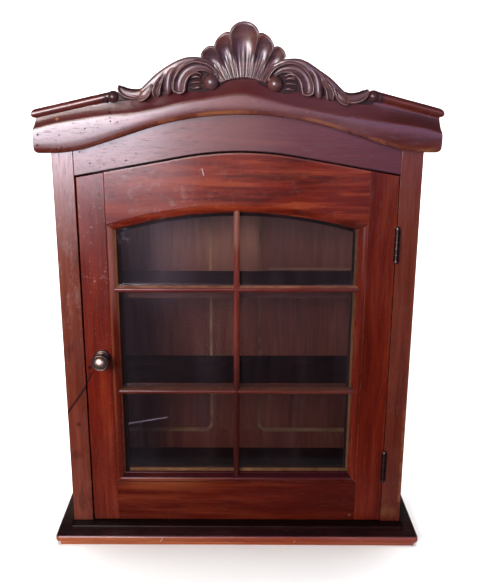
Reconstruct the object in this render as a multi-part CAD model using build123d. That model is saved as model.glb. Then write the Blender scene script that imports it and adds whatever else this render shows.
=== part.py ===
from build123d import *
import math
import os

# Small glazed display cabinet: a mahogany case with an arched, carved cornice,
# two shelves, a panelled back and one glazed door hung on the right.
# Millimetres. X runs to the right, Y from front to back, Z up.
# Origin: on the surface that it stands on, centred in width and in depth.
# Heights are counted from a level line over the ground; the posts stand foot_rise over that line.

# ---- driving dimensions: case ----
case_width = 400.0
case_depth = 131.0
level_line = 15.5
foot_rise = 2.5
carcase_height = 484.0
side_thick = 14.0
frame_thick = 18.0
post_width = 23.5
top_thick = 10.0
back_thick = 12.5

# ---- base ----
base_front_overhang = 25.0
base_side_overhang = 18.5
nose_thick = 8.0
nose_radius = 3.6
step_thick = 6.0
step_front_overhang = 12.6
step_side_overhang = 2.0
step_arris_radius = 1.2
underlay_thick = 4.0
underlay_inset = 6.0
underlay_front_inset = 0.8

# ---- inside ----
floor_top = 40.0
floor_thick = 10.0
shelf_thick = 8.0
shelf_lower_top = 174.0
shelf_upper_top = 289.3
shelf_setback = 25.0
housing_depth = 4.0
door_stop_gap = 0.3

# ---- panelled back ----
back_stile_width = 30.0
centre_stile_width = 67.0
centre_stile_shift = -1.5
back_rail_bottom_top = 68.0
back_rail_top_width = 50.0
panel_thick = 5.0
panel_setback = 4.0
panel_tongue = 6.0
panel_chamfer = 3.5
panel_corner_radius = 9.0

# ---- arches: slope of the flanks, radius at the crown, height at the crown ----
cornice_slope = 0.32
cornice_crown_radius = 345.0
cornice_knee_radius = 160.0
cornice_end_z = 451.0
cornice_crown_z = 490.5
opening_slope = 0.178
opening_crown_radius = 360.0
opening_crown_z = 451.6
sight_crown_radius = 476.0
sight_crown_z = 384.3
arch_shift = 3.5
arch_run_on = 12.0
frieze_blank_foot = 400.0

# ---- cornice section, from the foot up: projection from the case, height over its lower edge ----
cornice_projection = 15.0
cornice_foot = 9.0
cornice_roll = (13.6, 7.0)
cornice_bulge_height = 16.0
cornice_arris = (14.0, 25.0)
cornice_neck = (11.0, 38.0)
cornice_board_height = 41.0
cornice_foot_lean = (1.0, 0.35)
cornice_neck_lean = (-0.15, 1.0)

# ---- bead over the cornice: it climbs straight from each corner to its bud ----
bead_radius = 4.5
bead_corner_z = 492.5
bead_bud_z = 510.5
bead_board_depth = 20.0

# ---- carved crest ----
crest_x = 6.3
crest_back_gap = 3.0
crest_projection = 17.0
bud_x = 135.2
bud_radius = 6.0
volute_x = 34.0
volute_z = 523.0
volute_radius = 7.2
volute_projection = 13.0

# ---- door ----
door_left = -174.6
door_right = 175.7
door_foot_gap = 1.5
door_head_gap = 1.5
sight_half_width = 135.0
sight_foot = 64.8
moulding_width = 9.5
moulding_depth = 7.5
rebate = 6.0
glass_front = 10.0
glass_thick = 2.0
glass_play = 0.5
bead_reveal = 4.5
muntin_width = 7.0
muntin_front = 2.2
muntin_upper_z = 296.6
muntin_lower_z = 172.3
muntin_point = 3.5
muntin_flat = 0.2

# ---- hinges ----
hinge_length = 36.0
hinge_centres = (78.0, 349.5)
hinge_proud = 3.0
knuckle_radius = 2.7
knuckle_gap = 0.2
pin_radius = 1.2
pin_play = 0.05
pin_tip = 2.4
pin_tip_rise = 0.6
leaf_thick = 1.2
leaf_depth = 14.0
leaf_screw_radius = 1.1
leaf_screw_head = 2.1
leaf_screw_length = 9.0
outer_screw_share = 0.62
middle_screw_share = 0.42

# ---- knob ----
knob_x = -155.1
knob_z = 216.5
rose_radius = 9.3
rose_thick = 3.0
rose_rim = 1.4
rose_fall = 3.2
knob_neck_radius = 4.0
knob_head_radius = 10.0
knob_dome_radius = 6.0
knob_rim_thick = 5.0
knob_projection = 24.0
knob_neck_flare = 1.2
knob_neck_waist = 8.5
knob_rim_round = 1.6
knob_dome_rise = 3.6
knob_groove = 1.2
knob_groove_slope = 0.8
knob_screw_radius = 2.0
knob_screw_head = 4.2
knob_screw_head_thick = 2.2
knob_screw_head_round = 1.2
knob_thread_depth = 12.0

# ---- magnetic catch behind the head of the door ----
catch_x = -140.0
catch_width = 40.0
catch_height = 24.0
catch_depth = 13.0
catch_foot = 414.0
catch_relief_top = 434.0
catch_screw_head = 2.6
catch_screw_head_thick = 1.6
catch_screw_radius = 1.3
catch_screw_z = 436.0
catch_screw_gauge = 14.0
catch_screw_bite = 10.0
catch_arris_radius = 1.5
catch_play = 0.2
strike_width = 24.0
strike_height = 12.0
strike_thick = 1.0

# ---- hanger plates let into the back ----
hanger_x = 170.0
hanger_z = 452.0
hanger_width = 16.0
hanger_length = 44.0
hanger_thick = 1.6
hanger_hole_radius = 2.6
hanger_pocket_radius = 6.0
hanger_pocket_depth = 7.0
hanger_screw_offset = 15.0
hanger_screw_radius = 1.4
hanger_screw_head = 2.8
hanger_screw_length = 9.5

# ---- sizes of cutting blocks, well clear of the piece they cut ----
clear_of_case = 300.0
clear_of_top = 600.0
waist_of_door = 200.0
clear_of_cornice = 40.0

# ---- places worked out from the dimensions above ----
total_depth = case_depth + base_front_overhang
face_y = base_front_overhang - total_depth / 2
back_y = total_depth / 2
frame_back_y = face_y + frame_thick
half_width = case_width / 2
inner_half = half_width - side_thick
opening_half = half_width - post_width
back_inner_y = back_y - back_thick
front_frame_height = carcase_height + top_thick
door_foot = foot_rise + door_foot_gap


def up(height):
    """Height over the level line, turned into a height over the ground."""
    return level_line + height


def block(x0, x1, y0, y1, z0, z1):
    """A square-edged board between two corners, its heights counted from the level line."""
    size = (x1 - x0, y1 - y0, z1 - z0)
    middle = ((x0 + x1) / 2, (y0 + y1) / 2, up((z0 + z1) / 2))
    return Pos(*middle) * Box(*size)


def slab(outline, y_front, y_back):
    """An outline drawn in X and Z, made into a board between two depths."""
    return extrude(Plane.XZ.offset(-y_back) * outline, y_back - y_front)


def rod_y(radius, x, z, y_front, y_back):
    """A round rod that runs from front to back."""
    return slab(Pos(x, up(z)) * Circle(radius), y_front, y_back)


def rod_x(radius, y, z, x0, x1):
    """A round rod that runs from left to right."""
    return extrude(Plane.YZ.offset(x0) * Pos(y, up(z)) * Circle(radius), x1 - x0)


def arch(half_span, slope, crown_radius, crown_z, knee_x=0.0, knee_radius=0.0):
    """A gabled line with a round crown, and where knee_x is given, level ends with a soft knee."""
    half_turn = math.atan(slope)
    peak = crown_z + crown_radius * (1 / math.cos(half_turn) - 1)
    inner = knee_x if knee_x else half_span
    foot = up(peak - slope * inner)
    points = [(arch_shift - inner, foot), (arch_shift, up(peak)), (arch_shift + inner, foot)]
    radii = [crown_radius]
    if knee_x:
        points = [(-half_span, foot)] + points + [(half_span, foot)]
        radii = [knee_radius, crown_radius, knee_radius]
    return FilletPolyline(*points, radius=radii)


def under_arch(line, z_bottom):
    """The area below an arched line, down to a level foot."""
    left = line @ 0
    right = line @ 1
    sides = Polyline((right.X, right.Y), (right.X, up(z_bottom)), (left.X, up(z_bottom)), (left.X, left.Y))
    return make_face(line.edges() + sides.edges())


def without(piece, cuts):
    """What is left of a piece when the shapes in a list are taken out of it."""
    for cut in cuts:
        piece = piece - cut
    return piece


def write(name, *solids):
    """One STEP file for a node: one solid, or a group of separate ones."""
    shape = solids[0] if len(solids) == 1 else Compound(children=list(solids))
    export_step(shape, f"parts/{name}.step")


# ---- the opening for the door, and the door's own outline ----
opening_line = arch(opening_half + arch_run_on, opening_slope, opening_crown_radius, opening_crown_z)
opening = slab(under_arch(opening_line, -5), face_y - 1, frame_back_y + 1)
door_crown_z = opening_crown_z - door_head_gap
door_line = arch(opening_half + arch_run_on, opening_slope, opening_crown_radius, door_crown_z)
door_blank = slab(under_arch(door_line, door_foot), face_y, frame_back_y)
door_blank = door_blank & block(door_left, door_right, face_y, frame_back_y, door_foot, clear_of_top)


# ---- base ----
def base_board():
    board = block(
        -half_width - base_side_overhang, half_width + base_side_overhang,
        face_y - base_front_overhang, back_y,
        foot_rise - step_thick - nose_thick, foot_rise - step_thick,
    )
    nose = [e for e in board.edges().filter_by(Axis.Z, reverse=True) if e.center().Y < back_y - 1]
    return fillet(nose, nose_radius)


def base_step():
    board = block(
        -half_width - step_side_overhang, half_width + step_side_overhang,
        face_y - step_front_overhang, back_y, foot_rise - step_thick, foot_rise,
    )
    arris = board.edges().group_by(Axis.Z)[-1].sort_by(Axis.Y)[0]
    return fillet(arris, step_arris_radius)


def base_underlay():
    reach = half_width + base_side_overhang - underlay_inset
    front = face_y - base_front_overhang + underlay_front_inset
    return block(-reach, reach, front, back_y, -level_line, -level_line + underlay_thick)


# ---- hinge pieces ----
hinge_x = (door_right + opening_half) / 2
hinge_y = face_y - hinge_proud
knuckle_pitch = hinge_length / 5


def knuckles(centre, numbers, bore, side):
    """The knuckles of one leaf, counted from the bottom, each with its web to the leaf."""
    x_leaf = opening_half if side > 0 else door_right - leaf_thick
    parts = []
    for number in numbers:
        low = centre - hinge_length / 2 + number * knuckle_pitch + knuckle_gap / 2
        high = low + knuckle_pitch - knuckle_gap
        barrel = Pos(hinge_x, hinge_y, up(low)) * Cylinder(
            knuckle_radius, high - low, align=(Align.CENTER, Align.CENTER, Align.MIN)
        )
        web = block(x_leaf, x_leaf + leaf_thick, hinge_y, face_y, low, high)
        hole = Pos(hinge_x, hinge_y, up(low) - 1) * Cylinder(
            bore, high - low + 2, align=(Align.CENTER, Align.CENTER, Align.MIN)
        )
        parts.append(barrel + web - hole)
    return parts


def leaf(centre, numbers, bore, side):
    """A hinge leaf let into the wood, with its knuckles; side +1 on the post, -1 on the door."""
    plate = leaf_bed(centre, side)
    for piece in knuckles(centre, numbers, bore, side):
        plate = plate + piece
    return without(plate, leaf_screws(centre, side))


def leaf_bed(centre, side):
    """The plate of a leaf, which is also the shallow recess that it lies in."""
    x_leaf = opening_half if side > 0 else door_right - leaf_thick
    return block(
        x_leaf, x_leaf + leaf_thick, face_y, face_y + leaf_depth,
        centre - hinge_length / 2, centre + hinge_length / 2,
    )


def leaf_screws(centre, side):
    """Three countersunk screws, their heads level with the leaf."""
    x_face = opening_half if side > 0 else door_right
    screws = []
    for step in (-1, 0, 1):
        z = centre + step * hinge_length / 3
        y = face_y + leaf_depth * (outer_screw_share if step else middle_screw_share)
        cone = Plane((x_face, y, up(z)), x_dir=(0, 1, 0), z_dir=(side, 0, 0))
        head = cone * Cone(
            leaf_screw_head, leaf_screw_radius, leaf_thick, align=(Align.CENTER, Align.CENTER, Align.MIN)
        )
        shank = cone * Pos(0, 0, leaf_thick / 2) * Cylinder(
            leaf_screw_radius, leaf_screw_length - leaf_thick / 2,
            align=(Align.CENTER, Align.CENTER, Align.MIN),
        )
        screws.append(head + shank)
    return screws


def hinge_pin(centre):
    """The loose pin: a rod with a domed tip at each end, clear of the knuckles."""
    rod = Pos(hinge_x, hinge_y, up(centre)) * Cylinder(pin_radius, hinge_length)
    for end in (-1, 1):
        tip_z = up(centre + end * (hinge_length / 2 + pin_tip_rise))
        tip = Pos(hinge_x, hinge_y, tip_z) * Sphere(pin_tip)
        beyond = 2 * pin_tip
        keep_z = up(centre) + end * (hinge_length / 2 + beyond)
        keep = Pos(hinge_x, hinge_y, keep_z) * Box(2 * beyond, 2 * beyond, 2 * beyond)
        rod = rod + (tip & keep)
    return rod


# ---- case frame ----
def front_post(side):
    inner = side * opening_half
    outer = side * half_width
    post = block(min(inner, outer), max(inner, outer), face_y, frame_back_y, foot_rise, front_frame_height)
    if side > 0:
        for centre in hinge_centres:
            post = without(post, [leaf_bed(centre, 1)] + leaf_screws(centre, 1))
    return post


def side_board(side):
    inner = side * inner_half
    outer = side * half_width
    board = block(min(inner, outer), max(inner, outer), frame_back_y, back_y, foot_rise, carcase_height)
    for level, thick, front in housed_boards:
        reach = inner_half + housing_depth
        board = board - block(-reach, reach, front, back_inner_y, level - thick, level)
    return board


def frieze_rail():
    rail = block(-opening_half, opening_half, face_y, frame_back_y, frieze_blank_foot, front_frame_height)
    return without(rail - opening, catch_screws())


floor_front = frame_back_y + door_stop_gap
shelf_front = face_y + shelf_setback
housed_boards = (
    (floor_top, floor_thick, floor_front),
    (shelf_lower_top, shelf_thick, shelf_front),
    (shelf_upper_top, shelf_thick, shelf_front),
)


def housed_board(level, thick, front):
    """A floor or shelf, its ends let into the sides."""
    reach = inner_half + housing_depth
    return block(-reach, reach, front, back_inner_y, level - thick, level)


def top_board():
    return block(-half_width, half_width, frame_back_y, back_y, carcase_height, front_frame_height)


# ---- panelled back ----
centre_left = centre_stile_shift - centre_stile_width / 2
centre_right = centre_stile_shift + centre_stile_width / 2
panel_low = back_rail_bottom_top
panel_high = carcase_height - back_rail_top_width
panel_bays = (
    (-inner_half + back_stile_width, centre_left),
    (centre_right, inner_half - back_stile_width),
)


def back_panel(bay):
    """A plain field that runs in grooves all round."""
    front = back_inner_y + panel_setback
    return block(
        bay[0] - panel_tongue, bay[1] + panel_tongue, front, front + panel_thick,
        panel_low - panel_tongue, panel_high + panel_tongue,
    )


def back_frame():
    """The whole framed back before it is parted into stiles and rails."""
    frame = block(-inner_half, inner_half, back_inner_y, back_y, foot_rise, carcase_height)
    for x0, x1 in panel_bays:
        window = Pos((x0 + x1) / 2, up((panel_low + panel_high) / 2)) * RectangleRounded(
            x1 - x0, panel_high - panel_low, panel_corner_radius
        )
        frame = frame - slab(window, back_inner_y - 1, back_y + 1)
    arrises = frame.edges().filter_by(lambda e: abs(e.center().Y - back_inner_y) < 0.01)
    arrises = [e for e in arrises if abs(e.center().X) < inner_half - 5]
    arrises = [e for e in arrises if up(5) < e.center().Z < up(carcase_height - 5)]
    frame = chamfer(arrises, panel_chamfer)
    cuts = [back_panel(bay) for bay in panel_bays] + hanger_cuts()
    return without(frame, cuts)


def back_members():
    """Two outer stiles, a centre stile between the rails, and the two rails."""
    frame = back_frame()
    outer = inner_half - back_stile_width
    deep = (back_inner_y - 1, back_y + 1)
    centre = block(centre_left, centre_right, *deep, panel_low, panel_high)
    half_way = (panel_low + panel_high) / 2
    zones = {
        "back_stile_left": block(-inner_half, -outer, *deep, foot_rise, carcase_height),
        "back_stile_right": block(outer, inner_half, *deep, foot_rise, carcase_height),
        "back_rail_bottom": block(-outer, outer, *deep, foot_rise, half_way) - centre,
        "back_rail_top": block(-outer, outer, *deep, half_way, carcase_height) - centre,
        "back_stile_centre": centre,
    }
    return {name: frame & zone for name, zone in zones.items()}


# ---- hanger plates ----
def hanger_places():
    return [(side * hanger_x, hanger_z) for side in (-1, 1)]


def hanger_screws():
    screws = []
    for x, z in hanger_places():
        for step in (-1, 1):
            place = Plane((x, back_y, up(z + step * hanger_screw_offset)), x_dir=(1, 0, 0), z_dir=(0, -1, 0))
            head = place * Cone(
                hanger_screw_head, hanger_screw_radius, hanger_thick,
                align=(Align.CENTER, Align.CENTER, Align.MIN),
            )
            shank = place * Pos(0, 0, hanger_thick / 2) * Cylinder(
                hanger_screw_radius, hanger_screw_length - hanger_thick / 2,
                align=(Align.CENTER, Align.CENTER, Align.MIN),
            )
            screws.append(head + shank)
    return screws


def hanger_blank(x, z):
    outline = Pos(x, up(z)) * SlotOverall(hanger_length, hanger_width, rotation=90)
    return slab(outline, back_y - hanger_thick, back_y)


def hanger_plates():
    plates = []
    for x, z in hanger_places():
        plate = hanger_blank(x, z) - rod_y(hanger_hole_radius, x, z, back_y - 5, back_y + 5)
        plates.append(without(plate, hanger_screws()))
    return plates


def hanger_cuts():
    cuts = list(hanger_screws())
    for x, z in hanger_places():
        cuts.append(hanger_blank(x, z))
        cuts.append(rod_y(hanger_pocket_radius, x, z, back_y - hanger_pocket_depth, back_y + 1))
    return cuts


# ---- cornice ----
cornice_half_turn = math.atan(cornice_slope)
cornice_peak = cornice_crown_z + cornice_crown_radius * (1 / math.cos(cornice_half_turn) - 1)
cornice_knee_x = (cornice_peak - cornice_end_z) / cornice_slope


def cornice_line():
    return arch(
        half_width + cornice_projection, cornice_slope, cornice_crown_radius, cornice_crown_z,
        cornice_knee_x, cornice_knee_radius,
    )


def cornice_section():
    """Foot, swelling face, arris and neck, as projection and height."""
    swell = Spline(
        (cornice_foot, 0), cornice_roll, (cornice_projection, cornice_bulge_height),
        cornice_arris, cornice_neck,
        tangents=(cornice_foot_lean, cornice_neck_lean),
    )
    rest = Polyline(
        cornice_neck, (cornice_neck[0], cornice_board_height), (0, cornice_board_height),
        (0, 0), (cornice_foot, 0),
    )
    return make_face(swell.edges() + rest.edges())


def mitre_outside(side):
    """The wedge outside the mitre at a front corner of the cornice."""
    far = clear_of_cornice
    wedge = Polyline(
        (side * half_width, face_y), (side * (half_width + far), face_y - far),
        (side * (half_width + far), face_y), close=True,
    )
    return Pos(0, 0, up(cornice_end_z - far)) * extrude(make_face(wedge), 3 * far)


def bead_on_flank(side):
    """The straight bead between a corner and its bud, on the strip of board that carries it."""
    axis_out = cornice_projection - bead_radius
    corner_x = side * (half_width + axis_out)
    bud_place = crest_x + side * bud_x
    slope = (bead_bud_z - bead_corner_z) / (bud_place - corner_x)
    start_x = corner_x + side * cornice_projection
    start_z = bead_corner_z + slope * (start_x - corner_x)
    start = Plane((start_x, face_y - axis_out, up(start_z)), x_dir=(0, 1, 0), z_dir=(-side, 0, -side * slope))
    rod = extrude(start * Circle(bead_radius), math.hypot(bud_place - start_x, bead_bud_z - start_z))
    strip = make_face(Polyline(
        (start_x, up(start_z + bead_radius)), (bud_place, up(bead_bud_z + bead_radius)),
        (bud_place, up(bead_bud_z - bead_board_depth)), (start_x, up(start_z - bead_board_depth)), close=True,
    ))
    return rod + slab(strip, face_y - axis_out, face_y)


def cornice_front():
    """The arched board with its moulding, and on each flank a bead that ends in a bud."""
    line = cornice_line()
    start = Plane(
        (-half_width - cornice_projection, face_y, up(cornice_end_z)), x_dir=(0, -1, 0), z_dir=(-1, 0, 0)
    )
    board = sweep(start * cornice_section(), path=Plane.XZ.offset(-face_y) * line)
    for side in (-1, 1):
        board = board + bead_on_flank(side) + bud(side)
    return board - mitre_outside(-1) - mitre_outside(1)


def bud(side):
    """The small ball that a bead ends in, its top level with the bead's."""
    x = crest_x + side * bud_x
    z = bead_bud_z + bead_radius - bud_radius
    return Pos(x, face_y - cornice_projection + bead_radius, up(z)) * Sphere(bud_radius)


def cornice_return(side):
    """The same moulding along a side, level and mitred to the front."""
    plane = Plane(
        (side * half_width, face_y - cornice_projection, up(cornice_end_z)),
        x_dir=(side, 0, 0), z_dir=(0, -side, 0),
    )
    axis_out = cornice_projection - bead_radius
    rise = bead_corner_z - cornice_end_z
    strip_height = bead_board_depth + bead_radius
    outlines = (
        cornice_section(),
        Pos(axis_out, rise) * Circle(bead_radius),
        Pos(axis_out / 2, rise + bead_radius - strip_height / 2) * Rectangle(axis_out, strip_height),
    )
    length = back_y - face_y + cornice_projection
    pieces = [extrude(plane * outline, amount=length, dir=(0, 1, 0)) for outline in outlines]
    far = clear_of_cornice
    inside_mitre = Polyline(
        (side * half_width, face_y), (side * (half_width + far), face_y - far),
        (side * half_width - side, face_y - far), (side * half_width - side, face_y), close=True,
    )
    cut = Pos(0, 0, up(cornice_end_z - far)) * extrude(make_face(inside_mitre), 3 * far)
    return pieces[0] + pieces[1] + pieces[2] - cut


# ---- carved crest: outlines as offsets from the crest's middle, heights over the level line ----
shell_lobes = ((44.5, 548.8), (40.0, 556.8), (30.5, 559.5), (25.5, 570.8), (14.9, 573.6))
shell_top = 582.8
shell_foot = 525.9
shell_foot_corner = (27.0, 518.0)
shell_waist = (31.0, 534.0)
scroll_foot_z = 516.5
scroll_back_left = (
    (44.5, 548.0), (52.0, 549.0), (61.0, 547.5), (70.0, 543.8), (79.2, 537.4), (88.5, 529.5),
    (98.0, 522.2), (107.5, 517.2), (119.0, 516.3), (127.5, 520.0),
)
scroll_back_right = (
    (44.5, 548.7), (53.7, 548.4), (64.3, 545.0), (73.5, 538.5), (81.5, 531.3), (90.5, 524.0),
    (101.4, 517.4), (110.6, 514.6), (119.6, 515.4), (127.2, 516.2),
)
leaf_tips = (
    ((130.5, 514.2), (117.0, 506.4)),
    ((110.0, 501.6), (98.0, 507.4)),
    ((92.0, 505.6), (80.0, 511.0)),
    ((72.0, 511.4), (60.0, 516.4)),
)


def crest_point(side, point):
    return (crest_x + side * point[0], up(point[1]))


def shell_outline():
    """Five lobes over a fanned body, on a foot that follows the cornice."""
    edges = []
    for side in (-1, 1):
        end, peak_b, notch_b, peak_a, notch_a = [crest_point(side, p) for p in shell_lobes]
        foot = crest_point(side, shell_foot_corner)
        waist = crest_point(side, shell_waist)
        edges += ThreePointArc(end, peak_b, notch_b).edges()
        edges += ThreePointArc(notch_b, peak_a, notch_a).edges()
        edges += ThreePointArc(foot, waist, end).edges()
    left, right = [crest_point(side, shell_lobes[-1]) for side in (-1, 1)]
    edges += ThreePointArc(left, (crest_x, up(shell_top)), right).edges()
    left, right = [crest_point(side, shell_foot_corner) for side in (-1, 1)]
    edges += ThreePointArc(left, (crest_x, up(shell_foot)), right).edges()
    return make_face(edges)


def scroll_outline(side):
    """The back of the C-scroll, then four leaf tips back along the cornice to the volute."""
    back_points = scroll_back_left if side < 0 else scroll_back_right
    back_line = Spline(*[crest_point(side, p) for p in back_points])
    edges = list(back_line.edges())
    here = crest_point(side, back_points[-1])
    first = crest_point(side, leaf_tips[0][0])
    edges += Line(here, first).edges()
    here = first
    for number, (tip, root) in enumerate(leaf_tips):
        if number:
            edges += Line(here, crest_point(side, tip)).edges()
            here = crest_point(side, tip)
        edges += Line(here, crest_point(side, root)).edges()
        here = crest_point(side, root)
    foot = crest_point(side, (volute_x, scroll_foot_z))
    corner = crest_point(side, shell_foot_corner)
    waist = crest_point(side, shell_waist)
    end = crest_point(side, back_points[0])
    edges += Line(here, foot).edges()
    edges += Line(foot, corner).edges()
    edges += Line(corner, waist).edges()
    edges += Line(waist, end).edges()
    return make_face(edges)


def crest_body(outline):
    return slab(outline, face_y - crest_projection, face_y - crest_back_gap)


def crest_pieces():
    """The shell between two acanthus scrolls, all bedded on the cornice board."""
    board = cornice_front()
    shell = crest_body(shell_outline())
    pieces = {}
    for side, name in ((-1, "crest_scroll_left"), (1, "crest_scroll_right")):
        volute_place = Pos(crest_x + side * volute_x, face_y - volute_projection, up(volute_z))
        volute = volute_place * Sphere(volute_radius)
        scroll = (crest_body(scroll_outline(side)) - shell) + volute
        shell = shell - volute
        pieces[name] = scroll - board
    pieces["crest_shell"] = shell - board
    return board, pieces


# ---- door ----
sight_centre_z = sight_crown_z - sight_crown_radius
door_face_y = face_y
door_back_y = frame_back_y
glass_y0 = face_y + glass_front
glass_y1 = glass_y0 + glass_thick


def sight_area(margin):
    """The glass opening, grown by a margin on every side."""
    reach = sight_half_width + margin
    arc = Pos(0, up(sight_centre_z)) * Circle(sight_crown_radius + margin)
    foot = sight_foot - margin
    column = Pos(0, up(foot)) * Rectangle(2 * reach, clear_of_top, align=(Align.CENTER, Align.MIN))
    return arc & column


def door_frame():
    """All four members in one, with the moulded inner edge at the front and a rebate behind."""
    frame = door_blank
    frame = frame - slab(sight_area(0), door_face_y - 1, door_back_y + 1)
    frame = frame - slab(sight_area(rebate), glass_y0, door_back_y + 1)
    steps = 4
    for step in range(steps):
        turn = (step + 0.5) / steps * math.pi / 2
        margin = moulding_width * (1 - math.sin(turn)) if step else moulding_width
        depth = moulding_depth * (1 - math.cos(turn)) + 1.0
        frame = frame - slab(sight_area(margin), door_face_y - 1, door_face_y + depth)
    frame = without(frame, muntin_cross_bars())
    for centre in hinge_centres:
        frame = without(frame, [leaf_bed(centre, -1)] + leaf_screws(centre, -1))
    return without(frame, [knob_screw_bore(), strike_plate()])


def corner_zones():
    """Two zones that part the stiles off: joints square outside and mitred in the moulding."""
    joint = sight_half_width + moulding_width
    inside = sight_half_width - 2 * moulding_width
    deep = (door_face_y - 1, door_back_y + 1)
    top_corner = sight_centre_z + math.sqrt(sight_crown_radius ** 2 - sight_half_width ** 2)
    far = clear_of_case
    low = -clear_of_cornice
    high = clear_of_top
    corners = (
        (far, low), (joint, low), (joint, sight_foot - moulding_width),
        (sight_half_width, sight_foot), (inside, sight_foot),
        (inside, top_corner - moulding_width), (sight_half_width, top_corner),
        (joint, top_corner + moulding_width), (joint, high), (far, high),
    )
    zones = {}
    for side, name in ((-1, "door_stile_left"), (1, "door_stile_right")):
        outline = make_face(Polyline([(side * x, up(z)) for x, z in corners], close=True))
        zones[name] = slab(outline, *deep)
    return zones


def door_members():
    frame = door_frame()
    zones = corner_zones()
    left = frame & zones["door_stile_left"]
    right = frame & zones["door_stile_right"]
    rails = frame - zones["door_stile_left"] - zones["door_stile_right"]
    far = clear_of_case
    high = block(-far, far, door_face_y - 1, door_back_y + 1, waist_of_door, clear_of_top)
    return {
        "door_stile_left": left,
        "door_stile_right": right,
        "door_rail_top": rails & high,
        "door_rail_bottom": rails - high,
    }


def muntin_section_cut(bar, horizontal):
    """Rounds the front of a bar that has been left square."""
    edges = [e for e in bar.edges() if abs(e.center().Y - (face_y + muntin_front)) < 0.01]
    axis = Axis.X if horizontal else Axis.Z
    straight = [e for e in edges if e.geom_type == GeomType.LINE]
    along = [e for e in straight if abs(e.tangent_at(0.5).dot(axis.direction)) > 0.9]
    return fillet(along, muntin_width / 2 - muntin_flat)


def muntin_vertical():
    half = muntin_width / 2
    bar = block(-half, half, face_y + muntin_front, glass_y0, sight_foot, sight_crown_z + 2)
    bar = muntin_section_cut(bar, False)
    return bar & slab(sight_area(0), face_y - 1, glass_y0 + 1)


def muntin_bar(side, z):
    """A short cross bar from the upright to a point that is let into the stile's moulding."""
    half = muntin_width / 2
    inner = side * half
    outer = side * (sight_half_width + muntin_point)
    bar = block(min(inner, outer), max(inner, outer), face_y + muntin_front, glass_y0, z - half, z + half)
    bar = muntin_section_cut(bar, True)
    shoulder = side * sight_half_width
    point = make_face(Polyline(
        (inner, up(z - half)), (shoulder, up(z - half)), (outer, up(z)), (shoulder, up(z + half)),
        (inner, up(z + half)), close=True,
    ))
    return bar & slab(point, face_y, glass_y0)


def muntin_cross_bars():
    return [muntin_bar(side, z) for z in (muntin_lower_z, muntin_upper_z) for side in (-1, 1)]


def glass_pane():
    return slab(sight_area(rebate - glass_play), glass_y0, glass_y1)


def glazing_beads():
    """Four strips that hold the glass in its rebate from behind."""
    ring = slab(sight_area(rebate), glass_y1, door_back_y) - slab(
        sight_area(-bead_reveal), glass_y1 - 1, door_back_y + 1
    )
    inner = sight_half_width - bead_reveal
    low = sight_foot - rebate
    far = clear_of_case
    deep = (glass_y1 - 1, door_back_y + 1)
    side_zone = {
        -1: block(-far, -inner, *deep, low, clear_of_top),
        1: block(inner, far, *deep, low, clear_of_top),
    }
    middle = ring - side_zone[-1] - side_zone[1]
    high = block(-far, far, *deep, waist_of_door, clear_of_top)
    return {
        "glazing_bead_left": ring & side_zone[-1],
        "glazing_bead_right": ring & side_zone[1],
        "glazing_bead_top": middle & high,
        "glazing_bead_bottom": middle - high,
    }


# ---- knob ----
def turned(points_and_curves, x, z):
    """A turned piece: a half outline of radius and projection, spun about its own axis."""
    spun = revolve(make_face(points_and_curves), axis=Axis.Y)
    return Pos(x, face_y, up(z)) * spun


def knob_rose():
    rim = (rose_radius, -rose_rim)
    shoulder = (rose_radius - rose_fall / 3, -rose_thick + rose_fall / 6)
    flat = (rose_radius - rose_fall, -rose_thick)
    edges = Polyline((0, 0), (rose_radius, 0), rim).edges()
    edges += ThreePointArc(rim, shoulder, flat).edges()
    edges += Polyline(flat, (0, -rose_thick), (0, 0)).edges()
    rose = turned(edges, knob_x, knob_z)
    return rose - knob_screw()


def knob_head():
    """Neck, flared head with a turned rim, and a raised dome."""
    rim_back = -(knob_projection - knob_rim_thick - knob_dome_rise)
    rim_front = rim_back - knob_rim_thick
    rim_inner = knob_head_radius - knob_rim_round
    neck_foot = (knob_neck_radius + knob_neck_flare, -rose_thick)
    neck = ThreePointArc(neck_foot, (knob_neck_radius, -knob_neck_waist), (rim_inner, rim_back))
    rim = ThreePointArc(
        (rim_inner, rim_back), (knob_head_radius, (rim_back + rim_front) / 2), (rim_inner, rim_front),
    )
    dome_foot = rim_front + knob_groove
    dome_edge = knob_dome_radius + knob_groove_slope
    dome_rise = knob_projection + dome_foot
    ball = (dome_edge ** 2 + dome_rise ** 2) / (2 * dome_rise)
    half_lean = math.asin(dome_edge / ball) / 2
    dome_side = (ball * math.sin(half_lean), -knob_projection + ball * (1 - math.cos(half_lean)))
    groove = Polyline((rim_inner, rim_front), (dome_edge, dome_foot))
    dome = ThreePointArc((dome_edge, dome_foot), dome_side, (0, -knob_projection))
    close = Polyline((0, -knob_projection), (0, -rose_thick), neck_foot)
    edges = neck.edges() + rim.edges() + groove.edges() + dome.edges() + close.edges()
    return turned(edges, knob_x, knob_z) - knob_screw()


def knob_screw():
    """A pan-headed screw from inside the door into the knob."""
    tip = face_y - rose_thick - knob_thread_depth
    shank = rod_y(knob_screw_radius, knob_x, knob_z, tip, door_back_y)
    head = rod_y(knob_screw_head, knob_x, knob_z, door_back_y, door_back_y + knob_screw_head_thick)
    rim = head.edges().filter_by(GeomType.CIRCLE).sort_by(Axis.Y)[-1]
    return shank + fillet(rim, knob_screw_head_round)


def knob_screw_bore():
    return rod_y(knob_screw_radius, knob_x, knob_z, door_face_y - 1, door_back_y + 1)


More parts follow.
